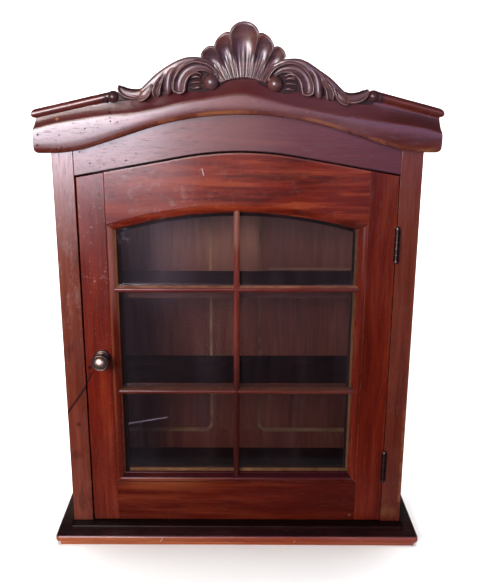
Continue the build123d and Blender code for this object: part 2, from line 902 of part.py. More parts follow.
# ---- catch ----
def catch_screws():
    """Two round-headed screws through the catch into the frieze rail."""
    screws = []
    for step in (-1, 1):
        x = catch_x + step * catch_screw_gauge
        back = frame_back_y + catch_depth
        shank = rod_y(catch_screw_radius, x, catch_screw_z, frame_back_y - catch_screw_bite, back)
        head = rod_y(catch_screw_head, x, catch_screw_z, back, back + catch_screw_head_thick)
        screws.append(shank + head)
    return screws


def magnetic_catch():
    """A flat magnet block on the back of the frieze rail; its foot hangs behind the door's head."""
    x0 = catch_x - catch_width / 2
    x1 = catch_x + catch_width / 2
    body = block(x0, x1, frame_back_y, frame_back_y + catch_depth, catch_foot, catch_foot + catch_height + 6)
    body = fillet(body.edges().filter_by(Axis.Y), catch_arris_radius)
    stop_y = frame_back_y + door_stop_gap + catch_play
    relief = block(x0 - 1, x1 + 1, frame_back_y - 1, stop_y, catch_foot - 1, catch_relief_top)
    return without(body - relief, catch_screws())


def strike_plate():
    """A steel plate let in flush behind the door's head, where the magnet meets it."""
    x0 = catch_x - strike_width / 2
    low = catch_foot - 3
    return block(
        x0, x0 + strike_width, door_back_y - strike_thick, door_back_y, low, low + strike_height
    )


# ---- write every node ----
write("base_board", base_board())
write("base_step", base_step())
write("base_underlay", base_underlay())
write("front_post_left", front_post(-1))
write("front_post_right", front_post(1))
write("side_left", side_board(-1))
write("side_right", side_board(1))
write("frieze_rail", frieze_rail())
write("top_board", top_board())
write("floor_board", housed_board(*housed_boards[0]))
write("shelf_lower", housed_board(*housed_boards[1]))
write("shelf_upper", housed_board(*housed_boards[2]))
for name, member in back_members().items():
    write(name, member)
write("back_panel_left", back_panel(panel_bays[0]))
write("back_panel_right", back_panel(panel_bays[1]))
write("hanger_plates", *hanger_plates())
write("hanger_screws", *hanger_screws())

cornice, crest = crest_pieces()
write("cornice_front", cornice)
write("cornice_return_left", cornice_return(-1))
write("cornice_return_right", cornice_return(1))
for name, piece in crest.items():
    write(name, piece)

for name, member in door_members().items():
    write(name, member)
write("muntin_vertical", muntin_vertical())
write("muntin_cross_bars", *muntin_cross_bars())
write("glass_pane", glass_pane())
for name, bead in glazing_beads().items():
    write(name, bead)
write("knob_rose", knob_rose())
write("knob_head", knob_head())
write("knob_screw", knob_screw())

write("hinge_leaves_case", *[leaf(c, (0, 2, 4), pin_radius, 1) for c in hinge_centres])
write("hinge_leaves_door", *[leaf(c, (1, 3), pin_radius + pin_play, -1) for c in hinge_centres])
write("hinge_pins", *[hinge_pin(c) for c in hinge_centres])
write("hinge_screws_case", *[s for c in hinge_centres for s in leaf_screws(c, 1)])
write("hinge_screws_door", *[s for c in hinge_centres for s in leaf_screws(c, -1)])
write("magnetic_catch", magnetic_catch())
write("catch_screws", *catch_screws())
write("strike_plate", strike_plate())
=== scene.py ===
# %% [markdown]
# # A small glazed display cabinet in polished mahogany
# A hand-sized piece of furniture: a case with two shelves behind one glazed door, under an
# arched moulding that carries a carved shell between two leafy scrolls. The CAD model is
# already packed, so this lesson dresses it. Plain boards that nobody looks at closely keep
# their CAD mesh and get a finish. Everything that the eye rests on, such as mouldings,
# arrises, carving and turned metal, is made again here in finer mesh code, in place.

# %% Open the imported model
import math

import bmesh
import bpy
from mathutils import Matrix, Vector


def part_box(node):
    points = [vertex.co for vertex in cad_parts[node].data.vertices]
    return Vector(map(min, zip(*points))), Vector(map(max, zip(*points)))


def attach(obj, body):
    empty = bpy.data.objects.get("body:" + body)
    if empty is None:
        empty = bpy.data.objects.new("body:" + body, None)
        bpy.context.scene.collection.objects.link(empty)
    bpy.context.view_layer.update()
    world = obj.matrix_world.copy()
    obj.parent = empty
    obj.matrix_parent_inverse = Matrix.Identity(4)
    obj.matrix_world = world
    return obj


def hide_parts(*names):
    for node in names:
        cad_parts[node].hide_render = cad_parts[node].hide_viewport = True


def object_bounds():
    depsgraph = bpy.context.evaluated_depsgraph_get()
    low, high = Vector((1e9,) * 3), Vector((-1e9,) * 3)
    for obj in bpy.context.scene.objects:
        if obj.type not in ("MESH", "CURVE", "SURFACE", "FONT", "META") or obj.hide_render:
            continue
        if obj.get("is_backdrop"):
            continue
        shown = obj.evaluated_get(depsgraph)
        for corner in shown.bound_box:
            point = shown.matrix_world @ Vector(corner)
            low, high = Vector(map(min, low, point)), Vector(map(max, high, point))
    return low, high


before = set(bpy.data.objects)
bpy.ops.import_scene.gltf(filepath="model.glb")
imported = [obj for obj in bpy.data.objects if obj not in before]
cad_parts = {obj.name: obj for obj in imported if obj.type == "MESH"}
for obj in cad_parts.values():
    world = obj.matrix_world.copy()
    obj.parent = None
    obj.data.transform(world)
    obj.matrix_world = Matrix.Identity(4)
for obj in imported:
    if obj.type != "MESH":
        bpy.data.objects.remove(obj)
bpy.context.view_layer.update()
scene = bpy.context.scene

# %% [markdown]
# ## One set of measures
# A cabinetmaker thinks in millimetres and Blender in metres, so every size below is in
# millimetres and one helper turns it into metres as a mesh is written. The main faces are
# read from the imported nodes, which keeps the new pieces on the boards that carry them.
# Heights are counted from a level line a little under the posts' foot.

# %% Read the faces that everything is set out from
MM = 0.001
post_low, post_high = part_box("front_post_left")
FACE = post_low.y / MM
FRAME_BACK = post_high.y / MM
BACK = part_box("side_left")[1].y / MM
FOOT_RISE = 2.5
LEVEL = post_low.z / MM - FOOT_RISE
HALF = -post_low.x / MM
OPENING_HALF = -post_high.x / MM
POST_TOP = post_high.z / MM - LEVEL
print("face", FACE, "level line", LEVEL, "half width", HALF, "door opening half width", OPENING_HALF)

# %% [markdown]
# ## The camera
# The cabinet is seen from a little above, almost square on, from less than a metre away.
# A camera can be aimed with a constraint, but three turns written out are easier to read
# back: tilt down, swing left, and a very small roll. The view transform is set to Standard,
# because the default one greys the deep red that polished mahogany is known for.

# %% Place the camera
def put(name, data):
    """A mesh, a lamp or a lens as an object in the scene."""
    thing = bpy.data.objects.new(name, data)
    scene.collection.objects.link(thing)
    return thing


CAMERA_STAND = (-0.0024, -0.8802, 0.5471)
scene.view_settings.view_transform = "Standard"
tilt_down, swing_left, roll = math.radians(15.91), math.radians(0.58), math.radians(-0.12)
lens = bpy.data.cameras.new("camera")
lens.lens = 47.20
lens.shift_x = 0.0220
lens.shift_y = 0.0008
lens.dof.use_dof = False
camera = put("camera", lens)
turn = Matrix.Rotation(swing_left, 4, "Z") @ Matrix.Rotation(math.pi / 2 - tilt_down, 4, "X")
camera.matrix_world = Matrix.Translation(CAMERA_STAND) @ turn @ Matrix.Rotation(roll, 4, "Z")
scene.camera = camera
print("camera stands", round(-camera.location.y, 3), "m in front of the middle")

# %% [markdown]
# ## Floor and backdrop
# In a studio, furniture stands on a roll of pale paper that curves up behind it, so that no
# line shows where floor meets wall. A bent sheet is easy to make from a short profile: floor,
# quarter round and wall. Polish would mirror so much pale paper as a grey veil, so the sheet is
# hidden from mirror rays, and a black card lies on it just out of the picture, as in a studio:
# no camera sees the card, but it stops the floor from lighting the front from below. Both are
# marked as stage, so they aren't part of the cabinet.

# %% Roll out the paper
def matt_paint(name, shade, roughness, shine):
    """A grey paint that is the same all over."""
    paint = bpy.data.materials.new(name)
    paint.use_nodes = True
    surface = paint.node_tree.nodes["Principled BSDF"].inputs
    surface["Base Color"].default_value = (shade, shade, shade, 1)
    surface["Roughness"].default_value = roughness
    surface["Specular IOR Level"].default_value = shine
    return paint


def paper_roll(front, wall, bend, height, half):
    """A wide sheet of paper: floor, a quarter-round bend and a wall, in metres."""
    line = [(front, 0.0)]
    for step in range(13):
        turn_of_bend = step / 12 * math.pi / 2
        line.append((wall - bend + bend * math.sin(turn_of_bend), bend - bend * math.cos(turn_of_bend)))
    line.append((wall, height))
    corners = [(x, y, z) for y, z in line for x in (-half, half)]
    faces = [(2 * i, 2 * i + 1, 2 * i + 3, 2 * i + 2) for i in range(len(line) - 1)]
    mesh = bpy.data.meshes.new("paper_roll")
    mesh.from_pydata(corners, [], faces, shade_flat=False)
    sheet = put("paper_roll", mesh)
    sheet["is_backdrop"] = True
    return sheet


paper = paper_roll(front=-5.0, wall=2.6, bend=0.9, height=3.6, half=5.0)
paper.data.materials.append(matt_paint("pale_paper", 0.86, 0.9, 0.1))
paper.visible_glossy = False
CARD_HALF, CARD_FRONT, CARD_BACK, CARD_LIFT = 2.5, -4.0, -0.22, 0.002
card_mesh = bpy.data.meshes.new("black_card")
card_plan = ((-1, CARD_FRONT), (1, CARD_FRONT), (1, CARD_BACK), (-1, CARD_BACK))
card_mesh.from_pydata([(side * CARD_HALF, y, CARD_LIFT) for side, y in card_plan], [], [(0, 1, 2, 3)])
card_mesh.materials.append(matt_paint("black_card", 0.01, 0.5, 0.0))
card = put("black_card", card_mesh)
card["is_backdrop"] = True
card.visible_camera = False
card.visible_shadow = False
print("paper:", len(paper.data.polygons), "faces; card ends", -CARD_BACK, "m in front of the middle")

# %% [markdown]
# ## Light
# French polish shows what it reflects. A small bright window at eye height, just left of the
# camera, lies as a milky sheen over the upper left of the case, where the eye meets its
# reflection, and a weaker one beside it lets the sheen fade out. A lamp close by on the left
# gives the form: it stands so near that the far corner at the bottom right gets half its
# light, and a weak one on the right opens up the shadows inside. Two lamps over the paper
# light only the paper, which light linking allows, so the base stays as dark on top as its
# dirt and painted shade make it.

# %% Hang the lights
def soft_window(name, place, aim, width, height, power, colour, fan=180):
    """An area light, in metres and watts, turned towards a point; fan is how wide it spreads, in degrees."""
    lamp = bpy.data.lights.new(name, "AREA")
    lamp.shape = "RECTANGLE"
    lamp.size = width
    lamp.size_y = height
    lamp.energy = power
    lamp.color = colour
    lamp.spread = math.radians(fan)
    window = put(name, lamp)
    window.location = place
    window.rotation_euler = (Vector(aim) - Vector(place)).to_track_quat("-Z", "Y").to_euler()
    window.visible_camera = False
    return window


for name, place, aim, width, height, power, colour in (  # lamps that only the polish mirrors
    ("sheen_window", (-0.77, -2.9, 0.52), (-0.1, 0.0, 0.5), 0.78, 0.88, 58.0, (0.94, 0.86, 1.0)),
    ("fading_window", (-0.12, -2.9, 0.50), (0.0, 0.0, 0.5), 0.52, 0.84, 6.5, (1.0, 0.66, 0.74)),
    ("far_window", (1.0, -2.8, 0.72), (0.0, 0.0, 0.5), 1.2, 0.8, 9.0, (0.64, 0.50, 1.0)),
):
    soft_window(name, place, aim, width, height, power, colour).visible_diffuse = False
soft_window("near_window", (-0.62, -1.25, 0.80), (-0.20, 0.0, 0.50), 0.6, 0.6, 4.7, (1.0, 0.94, 0.90), 90)
side_lamp = soft_window(
    "room_fill", (0.75, -1.5, 0.62), (0.1, 0.0, 0.35), 0.8, 0.8, 0.9, (0.95, 0.84, 1.0), 120)
side_lamp.visible_glossy = False
paper_only = bpy.data.collections.new("paper_only")
paper_only.objects.link(paper)
for name, place, aim, width, depth in (
    ("wall_lamp", (0.0, 0.9, 1.9), (0.0, 2.6, 0.9), 3.0, 0.8),
    ("floor_lamp", (0.0, 0.6, 2.4), (0.0, 0.6, 0.0), 2.4, 1.4),
):
    lamp = soft_window(name, place, aim, width, depth, 60.0, (1.0, 1.0, 1.0), 120)
    lamp.light_linking.receiver_collection = paper_only
sky = bpy.data.worlds.new("room")
sky.use_nodes = True
air = sky.node_tree.nodes["Background"].inputs
air["Color"].default_value = (0.80, 0.80, 0.86, 1)
air["Strength"].default_value = 0.06
scene.world = sky

# %% [markdown]
# ## Small helpers for finishes
# A finish is a tree of nodes, and written out in full each one takes a page. A few helpers
# keep the recipes short: they add a node and fill its sockets, do sums on values and on
# places, stretch a value from one range to another and mix two colours. A socket knows which
# tree it belongs to, so a helper that is handed one needn't be told where to work. A value
# that is the same all over always goes straight into the shader's own socket.

# %% Node helpers
def new_finish(name):
    """A material with an empty node tree."""
    finish = bpy.data.materials.new(name)
    finish.use_nodes = True
    finish.node_tree.nodes.clear()
    return finish, finish.node_tree


def fill(tree, socket, value):
    """Links a socket, or sets its value."""
    if isinstance(value, bpy.types.NodeSocket):
        tree.links.new(value, socket)
    else:
        socket.default_value = value


def add(tree, kind, inputs=None, **settings):
    """Adds a shader node with its options set and its sockets filled."""
    node = tree.nodes.new("ShaderNode" + kind)
    for key, value in settings.items():
        setattr(node, key, value)
    for key, value in (inputs or {}).items():
        fill(tree, node.inputs[key], value)
    return node


def cover(tree, shader):
    """Puts a shader on the surface."""
    add(tree, "OutputMaterial", {"Surface": shader.outputs[0]})


def tree_of(*values):
    """The tree of the first socket among some values."""
    return next(value.id_data for value in values if isinstance(value, bpy.types.NodeSocket))


def rgb(red, green, blue):
    """A colour as a node wants it, with full alpha."""
    return (red, green, blue, 1.0)


# %% Sums with values, places and colours
def maths(operation, first, second=0.5):
    """One step of arithmetic on values."""
    return add(tree_of(first, second), "Math", {0: first, 1: second}, operation=operation).outputs[0]


def product(*values):
    """All values multiplied."""
    result = values[0]
    for value in values[1:]:
        result = maths("MULTIPLY", result, value)
    return result


def points(operation, first, second):
    """One step of arithmetic on places or directions."""
    node = add(tree_of(first, second), "VectorMath", {0: first, 1: second}, operation=operation)
    return node.outputs["Value" if operation in ("DOT_PRODUCT", "DISTANCE") else "Vector"]


def parts(point):
    """The three parts of a place or a direction: across the front, into the depth and up."""
    return add(tree_of(point), "SeparateXYZ", {0: point}).outputs


def here(tree):
    """The place that is being coloured, in metres, followed by its three parts."""
    place = add(tree, "TexCoord").outputs["Object"]
    return place, *parts(place)


def looks_towards(tree):
    """The three parts of the direction that the surface faces."""
    return parts(add(tree, "NewGeometry").outputs["Normal"])


def facing_up(tree):
    """How far the surface looks up: 1 for a shelf, 0 for a wall, -1 for an underside."""
    return looks_towards(tree)[2]


# %% Stretch, mix and scatter
def stretch(value, low, high, to_low=0.0, to_high=1.0):
    """Turns one range of a value into another with soft ends."""
    inputs = {"Value": value, "From Min": low, "From Max": high, "To Min": to_low, "To Max": to_high}
    return add(tree_of(value), "MapRange", inputs, interpolation_type="SMOOTHSTEP").outputs["Result"]


def between(value, start, full, fading, end):
    """White between two values, with a soft edge on each side."""
    return product(stretch(value, start, full), stretch(value, end, fading))


def mix(share, first, second, mode="MIX"):
    """Two colours mixed by a share from 0 to 1."""
    tree = tree_of(share, first, second)
    node = tree.nodes.new("ShaderNodeMix")
    node.data_type = "RGBA"
    node.blend_type = mode
    for index, value in ((0, share), (6, first), (7, second)):
        fill(tree, node.inputs[index], value)
    return node.outputs[2]


def ramp(value, stops):
    """A run of colours placed along a value."""
    node = add(tree_of(value), "ValToRGB", {"Fac": value})
    bar = node.color_ramp
    while len(bar.elements) < len(stops):
        bar.elements.new(0.5)
    for element, (place, colour) in zip(bar.elements, stops):
        element.position = place
        element.color = rgb(*colour)
    return node.outputs["Color"]


def noise(space, scale, detail=4.0, rough=0.6):
    """The grey value of a noise of so many waves to the metre."""
    inputs = {"Vector": space, "Scale": scale, "Detail": detail, "Roughness": rough}
    return add(tree_of(space), "TexNoise", inputs).outputs[0]


def patches(space, scale, low, high, to_low=0.0, to_high=1.0, detail=4.0, rough=0.6):
    """Soft-edged patches: the range of a noise from low to high, stretched."""
    return stretch(noise(space, scale, detail, rough), low, high, to_low, to_high)


# %% [markdown]
# ## Mahogany under old polish
# Mahogany is told by long ribbon-like bands, short dark pores that all run one way, and a
# red-brown stain that has worn to orange on the arrises. A picture of wood would repeat and
# slide over the curves, so the grain is worked out in space: noise that is squeezed across
# the board and drawn out along it. Each board shifts the noise by its own amount, as no two
# boards come from the same place in the tree. The bands set the colour, the pores also dent
# the polish, a cloudy noise changes the gloss, and the rounding of the arrises is where the
# stain wears through.

# %% Grain that runs along a board
ALONG = {"X": (0.06, 1.0, 1.0), "Y": (1.0, 0.06, 1.0), "Z": (1.0, 1.0, 0.06)}


def board_space(tree, grain):
    """Points on a board, shifted by the board's own amount, plain and drawn out along the grain."""
    chance = add(tree, "ObjectInfo").outputs["Random"]
    plain = points("ADD", here(tree)[0], product(chance, 9.0))
    wander = add(tree, "TexNoise", {"Vector": plain, "Scale": 7.0, "Detail": 2.0})
    drift = points("MULTIPLY", wander.outputs["Color"], (0.012, 0.012, 0.012))
    drawn = points("MULTIPLY", points("ADD", plain, drift), ALONG[grain])
    return plain, drawn, chance


# %% Arrises and surface marks
def arris_wear(radius, plain):
    """How far the surface turns away from its own face near an arris: where a stain wears off."""
    tree = tree_of(plain)
    rounded = add(tree, "Bevel", {"Radius": radius}, samples=6).outputs[0]
    flat = add(tree, "NewGeometry").outputs["True Normal"]
    edge = stretch(points("DOT_PRODUCT", rounded, flat), 0.99, 0.80)
    return product(edge, patches(plain, 60.0, 0.35, 0.62, 0.15, 1.0, detail=3.0))


def dull(look, mask, matt):
    """Takes the shine off where the mask is white."""
    kept = stretch(mask, 0.0, 1.0, 1.0, 1.0 - matt)
    for part in ("Specular IOR Level", "Coat Weight"):
        look[part] = product(kept, look[part])


def stain(look, mask, colour, strength, matt=0.0):
    """Colours the marked places, and dulls them if they are dirt."""
    share = product(mask, strength)
    look["Base Color"] = mix(share, look["Base Color"], rgb(*colour))
    if matt:
        dull(look, share, matt)


# %% The recipe for mahogany
ARRIS_REACH = 0.0011
MILK, SCUFF = (0.36, 0.22, 0.26), (0.50, 0.36, 0.32)


def mahogany(name, grain, shades, haze=0.0, wear=0.6, gloss=(0.17, 0.27), level=0.40, coat=0.25,
             bare=(0.42, 0.15, 0.06), marks=None):
    """Stained and polished mahogany in three shades, from dark to pale, its grain along one axis."""
    finish, tree = new_finish(name)
    plain, drawn, chance = board_space(tree, grain)
    figure = mix(0.55, noise(drawn, 24.0, 3.0), noise(drawn, 150.0, 7.0, 0.7))
    colour = ramp(figure, tuple(zip((0.30, 0.50, 0.68), shades)))
    tone = stretch(chance, 0.0, 1.0, 0.86, 1.12)
    grey = add(tree, "CombineColor", {0: tone, 1: tone, 2: tone}).outputs[0]
    colour = mix(1.0, colour, grey, "MULTIPLY")
    pores = patches(drawn, 1300.0, 0.60, 0.70, detail=2.0)
    colour = mix(product(pores, 0.55), colour, rgb(*[0.25 * part for part in shades[0]]))
    cloud = noise(plain, 9.0, 4.0, 0.65)
    colour = mix(stretch(cloud, 0.40, 0.75, 0.0, haze), colour, rgb(*MILK))
    scuffs = patches(plain, 26.0, 0.70, 0.75, detail=8.0, rough=0.75)
    colour = mix(product(scuffs, 0.08), colour, rgb(*SCUFF))
    colour = mix(product(arris_wear(ARRIS_REACH, plain), wear), colour, rgb(*bare))
    rough = maths("ADD", stretch(cloud, 0.25, 0.75, *gloss), product(pores, 0.2))
    ripple = add(tree, "Bump", {"Strength": 0.2, "Distance": 0.0004, "Height": noise(drawn, 40.0, 2.0)})
    dents = {"Strength": 0.5, "Distance": 0.00008, "Height": pores, "Normal": ripple.outputs[0]}
    look = {
        "Base Color": colour, "Roughness": rough, "Normal": add(tree, "Bump", dents, invert=True).outputs[0],
        "Specular IOR Level": level, "Coat Weight": coat, "Coat Roughness": 0.15,
    }
    if marks:
        marks(tree, look)
    cover(tree, add(tree, "BsdfPrincipled", look))
    print("finish:", name, "with", len(tree.nodes), "nodes")
    return finish


# %% [markdown]
# ## Marks of one board only
# The same recipe gives all the wood of this cabinet: the case and the cornice have a
# purple-brown polish, the door is redder and clearer, its thin bars are browner, and the base
# is nearly black on top with dirt and painted shade. Grain follows how each board was cut, so
# upright and level boards need a finish each. Some boards also carry marks of their own, such
# as wormholes, a scratch or a smear. They could be painted, but a painted picture has to be
# unwrapped and kept beside the model, so each mark is a small mask instead: a soft spot, a
# soft line or scattered pits. Spots and lines are set out in millimetres over the level line,
# and the other masks in metres, as the shader sees them.

# %% Pits, spots and lines
BLACK_DIRT_AND_SHADE, RAW_WOOD, PALE_RUB = (0.020, 0.008, 0.010), (0.45, 0.19, 0.085), (0.55, 0.36, 0.34)


def pits(place, scale, size, share):
    """Scattered round pits on a front: so many cells to the metre, and the share of cells that hold one."""
    tree = tree_of(place)
    across, _, height = parts(place)
    front = add(tree, "CombineXYZ", {0: across, 1: height}).outputs[0]
    cells = add(tree, "TexVoronoi", {"Vector": front, "Scale": scale}, voronoi_dimensions="2D").outputs
    chance = add(tree, "SeparateColor", {0: cells["Color"]}).outputs
    reach = stretch(chance[1], 0.0, 1.0, 0.5 * size * scale, size * scale)
    return product(maths("LESS_THAN", cells["Distance"], reach), maths("LESS_THAN", chance[0], share))


def spot(place, middle, radius):
    """White inside a soft round spot, its middle given across and over the level line."""
    flat = points("MULTIPLY", place, (1.0, 0.0, 1.0))
    distance = points("DISTANCE", flat, (middle[0] * MM, 0.0, (LEVEL + middle[1]) * MM))
    return stretch(distance, radius * MM, 0.4 * radius * MM)


def near_line(place, first, second, half_width):
    """White along a straight line over the front, from one place to another."""
    run, climb = second[0] - first[0], second[1] - first[1]
    length = math.hypot(run, climb)
    from_start = points("SUBTRACT", place, (first[0] * MM, 0.0, (LEVEL + first[1]) * MM))
    along = points("DOT_PRODUCT", from_start, (run / length, 0.0, climb / length))
    beside = points("DOT_PRODUCT", from_start, (-climb / length, 0.0, run / length))
    near = stretch(maths("ABSOLUTE", beside), half_width * MM, 0.3 * half_width * MM)
    return product(near, between(along, 0.0, 0.002, (length - 2.0) * MM, length * MM))


# %% [markdown]
# ## Writing a mesh
# Every new piece is built in a bmesh, a scratch mesh that is easy to add to, in millimetres.

# %% Finish a piece
def finish_piece(scratch, name, body, slot, finish, stands_for, edge_angle=35.0, weighted=True):
    """Turns a scratch mesh in millimetres into a piece of the cabinet."""
    bmesh.ops.remove_doubles(scratch, verts=scratch.verts, dist=0.0005)
    bmesh.ops.recalc_face_normals(scratch, faces=scratch.faces)
    bmesh.ops.scale(scratch, vec=(MM, MM, MM), verts=scratch.verts)
    mesh = bpy.data.meshes.new(name)
    scratch.to_mesh(mesh)
    scratch.free()
    for face in mesh.polygons:
        face.use_smooth = True
    mesh.set_sharp_from_angle(angle=math.radians(edge_angle))
    mesh.materials.append(finish)
    piece = put(name, mesh)
    if weighted:
        flats = piece.modifiers.new("flat faces stay flat", "WEIGHTED_NORMAL")
        flats.keep_sharp = True
    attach(piece, body)
    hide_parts(*stands_for)
    print(f"{name}: {len(mesh.polygons)} faces, stands for {', '.join(stands_for)}")
    return piece


# %% [markdown]
# ## Boards with worn arrises
# No edge on old furniture is a knife edge. A bevel modifier could round them, but several
# boards here end in a moulding that mustn't be touched, so each board is bevelled in the
# scratch mesh as it is added: an outline in X and Z is given a thickness, and only its own
# sharp edges are rounded over.

# %% Add boards and other solids to a scratch mesh
def walls(scratch, first, second):
    """Four-sided faces between two closed rings of corners."""
    count = len(first)
    rounds = [(i, (i + 1) % count) for i in range(count)]
    return [scratch.faces.new((first[i], first[j], second[j], second[i])) for i, j in rounds]


def skin(scratch, rings):
    """A solid through a row of closed rings of points, with a cap at each end."""
    made = [[scratch.verts.new(point) for point in ring] for ring in rings]
    for first, second in zip(made, made[1:]):
        walls(scratch, first, second)
    scratch.faces.new(made[0][::-1])
    scratch.faces.new(made[-1])


def add_board(scratch, outline, front, back, arris=0.6):
    """A board from an outline in X and Z, its edges rounded by the width of an arris."""
    near = [scratch.verts.new((x, front, z)) for x, z in outline]
    far = [scratch.verts.new((x, back, z)) for x, z in outline]
    faces = [scratch.faces.new(near), scratch.faces.new(far[::-1])] + walls(scratch, far, near)
    bmesh.ops.recalc_face_normals(scratch, faces=faces)
    own = {edge for face in faces for edge in face.edges}
    sharp = [edge for edge in own if edge.calc_face_angle(0.0) > math.radians(25)]
    bmesh.ops.bevel(scratch, geom=sharp, offset=arris, segments=3, profile=0.5, affect="EDGES")


def over_level(outline):
    """An outline counted from the level line, lifted to its height over the ground."""
    return [(x, LEVEL + z) for x, z in outline]


# %% [markdown]
# ## The front posts and the frieze
# Two square posts stand at the front corners, and the frieze between them is cut to the
# arch of the door. The arch is a gable with a round crown, so one formula gives its height
# anywhere: a circle near the middle and a straight slope outside it. The right-hand post is
# notched for the hinge leaves.

# %% Set out the arch over the door
ARCH_SHIFT = 3.5
DOOR_SLOPE = 0.178
DOOR_CROWN_RADIUS = 360.0
OPENING_CROWN = 451.6
DOOR_HEAD_GAP = 1.5
HINGE_CENTRES = (78.0, 349.5)
HINGE_LENGTH = 36.0
LEAF_THICK = 1.2


def gable(x, slope, crown_radius, crown):
    """Height of a gabled line with a round crown, over the level line."""
    reach = abs(x - ARCH_SHIFT)
    half_turn = math.atan(slope)
    if reach < crown_radius * math.sin(half_turn):
        return crown - crown_radius + math.sqrt(crown_radius ** 2 - reach ** 2)
    return crown + crown_radius * (1 / math.cos(half_turn) - 1) - slope * reach


def steps_between(low, high, count):
    """Evenly spaced values from low to high, both ends included."""
    return [low + (high - low) * i / count for i in range(count + 1)]


def notched_edge(x, low, high, bite):
    """One upright edge of a board, from low to high, with a notch at each hinge."""
    line = [(x, low)]
    for centre in HINGE_CENTRES:
        z0, z1 = centre - HINGE_LENGTH / 2, centre + HINGE_LENGTH / 2
        line += [(x, z0), (x + bite, z0), (x + bite, z1), (x, z1)]
    return line + [(x, high)]


# %% [markdown]
# ## Finishes for the posts and the frieze
# The posts are a lighter brown than the rest of the case. The left one has been rubbed grey
# and carries a dark line from the knob outwards, the right one is worn amber at its foot, and
# the frieze carries a painted shadow where the door closes under it, and a painted purple
# reflection on its right. That shadow follows the arch, so the formula of the arch is written
# once more in nodes.

# %% Mix the woods of the posts and the frieze
POST = (0.080, 0.0120, 0.0070), (0.225, 0.0420, 0.0220), (0.340, 0.0850, 0.0420)
PLUM = (0.055, 0.0085, 0.0075), (0.145, 0.0220, 0.0160), (0.250, 0.0540, 0.0340)


def left_post_marks(tree, look):
    """Grey rubs, dark streaks, and a dark line that runs down from the knob past two smudges."""
    place, _, _, height = here(tree)
    drawn = points("MULTIPLY", place, (1.0, 1.0, 0.35))
    rubs = patches(drawn, 90.0, 0.52, 0.66, detail=6.0, rough=0.75)
    stain(look, rubs, (0.34, 0.21, 0.18), stretch(height, 0.18, 0.36, 0.05, 0.48))
    stain(look, patches(drawn, 50.0, 0.44, 0.30, detail=3.0), (0.045, 0.010, 0.008), 0.5)
    stain(look, near_line(place, (-174.0, 183.0), (-201.0, 144.5), 2.0), BLACK_DIRT_AND_SHADE, 0.85, 0.7)
    stain(look, spot(place, (-187.6, 131.4), 4.0), BLACK_DIRT_AND_SHADE, 0.6, 0.5)
    stain(look, spot(place, (-192.3, 91.1), 8.0), BLACK_DIRT_AND_SHADE, 0.35, 0.3)


def right_post_marks(tree, look):
    """Darker low down, a worn amber patch at the foot, and amber along the outer arris over it."""
    place, _, _, height = here(tree)
    patchy = patches(place, 55.0, 0.35, 0.60, 0.2, 1.0)
    stain(look, stretch(height, 0.30, 0.05, 0.0, 0.45), (0.085, 0.010, 0.005), 1.0)
    stain(look, product(spot(place, (185.8, 14.9), 13.0), patchy), (0.30, 0.12, 0.045), 0.35)
    arris = near_line(place, (198.0, 28.0), (198.0, 160.0), 2.6)
    stain(look, product(arris, patchy), (0.34, 0.14, 0.06), 0.5)


def over_arch(place):
    """The same arch in nodes: how far a place is above the top of the door opening, in metres."""
    across, _, height = parts(place)
    reach = maths("ABSOLUTE", maths("SUBTRACT", across, ARCH_SHIFT * MM))
    rounded = maths("MINIMUM", reach, DOOR_CROWN_RADIUS * MM * math.sin(math.atan(DOOR_SLOPE)))
    drop = maths("DIVIDE", product(rounded, rounded), 2 * DOOR_CROWN_RADIUS * MM)
    drop = maths("ADD", drop, product(maths("SUBTRACT", reach, rounded), DOOR_SLOPE))
    return maths("ADD", maths("SUBTRACT", height, (LEVEL + OPENING_CROWN) * MM), drop)


def frieze_marks(tree, look):
    """A painted shadow along the lower edge of the frieze, a few pits on its left and a painted purple
    reflection on its right.
    """
    place, across, _, _ = here(tree)
    # A painted shadow of the gap over the door, along the frieze's lower edge.
    stain(look, stretch(over_arch(place), 0.0017, 0.0007), BLACK_DIRT_AND_SHADE, 0.95, 0.95)
    stain(look, pits(place, 100.0, 0.0011, 0.22), BLACK_DIRT_AND_SHADE, stretch(across, -0.05, -0.13), 0.9)
    # A painted purple reflection over the right of the frieze.
    stain(look, stretch(across, -0.02, 0.08), (0.20, 0.085, 0.140), 0.32)


post_wood_left = mahogany("post_mahogany_left", "Z", POST, haze=0.02, marks=left_post_marks)
post_wood_right = mahogany("post_mahogany_right", "Z", POST, haze=0.02, marks=right_post_marks)
frieze_wood = mahogany("frieze_mahogany", "X", PLUM, haze=0.03, level=0.34, marks=frieze_marks)

# %% Cut the posts and the frieze
left_post = bmesh.new()
post_face = [(-HALF, FOOT_RISE), (-OPENING_HALF, FOOT_RISE), (-OPENING_HALF, POST_TOP), (-HALF, POST_TOP)]
add_board(left_post, over_level(post_face), FACE, FRAME_BACK)
right_post = bmesh.new()
inner_edge = notched_edge(OPENING_HALF, FOOT_RISE, POST_TOP, LEAF_THICK)
post_face = [(HALF, FOOT_RISE)] + inner_edge + [(HALF, POST_TOP)]
add_board(right_post, over_level(post_face), FACE, FRAME_BACK, arris=0.5)
frieze = bmesh.new()
across_opening = steps_between(-OPENING_HALF, OPENING_HALF, 60)
arch_line = [(x, gable(x, DOOR_SLOPE, DOOR_CROWN_RADIUS, OPENING_CROWN)) for x in across_opening]
arch_line += [(OPENING_HALF, POST_TOP), (-OPENING_HALF, POST_TOP)]
add_board(frieze, over_level(arch_line), FACE, FRAME_BACK)
for board, name, finish, node in (
    (left_post, "post_left", post_wood_left, "front_post_left"),
    (right_post, "post_right", post_wood_right, "front_post_right"),
    (frieze, "frieze", frieze_wood, "frieze_rail"),
):
    finish_piece(board, name, "case", "mahogany_case", finish, [node])

# %% [markdown]
# ## The stepped base
# The case stands on a thin step, and that on a wider board whose edge is rounded into a
# bull nose. A nosing is easy to build as a stack of outlines: each layer is the board's
# plan, drawn in by as much as the rounding asks at that height, with small rounds at the
# front corners.

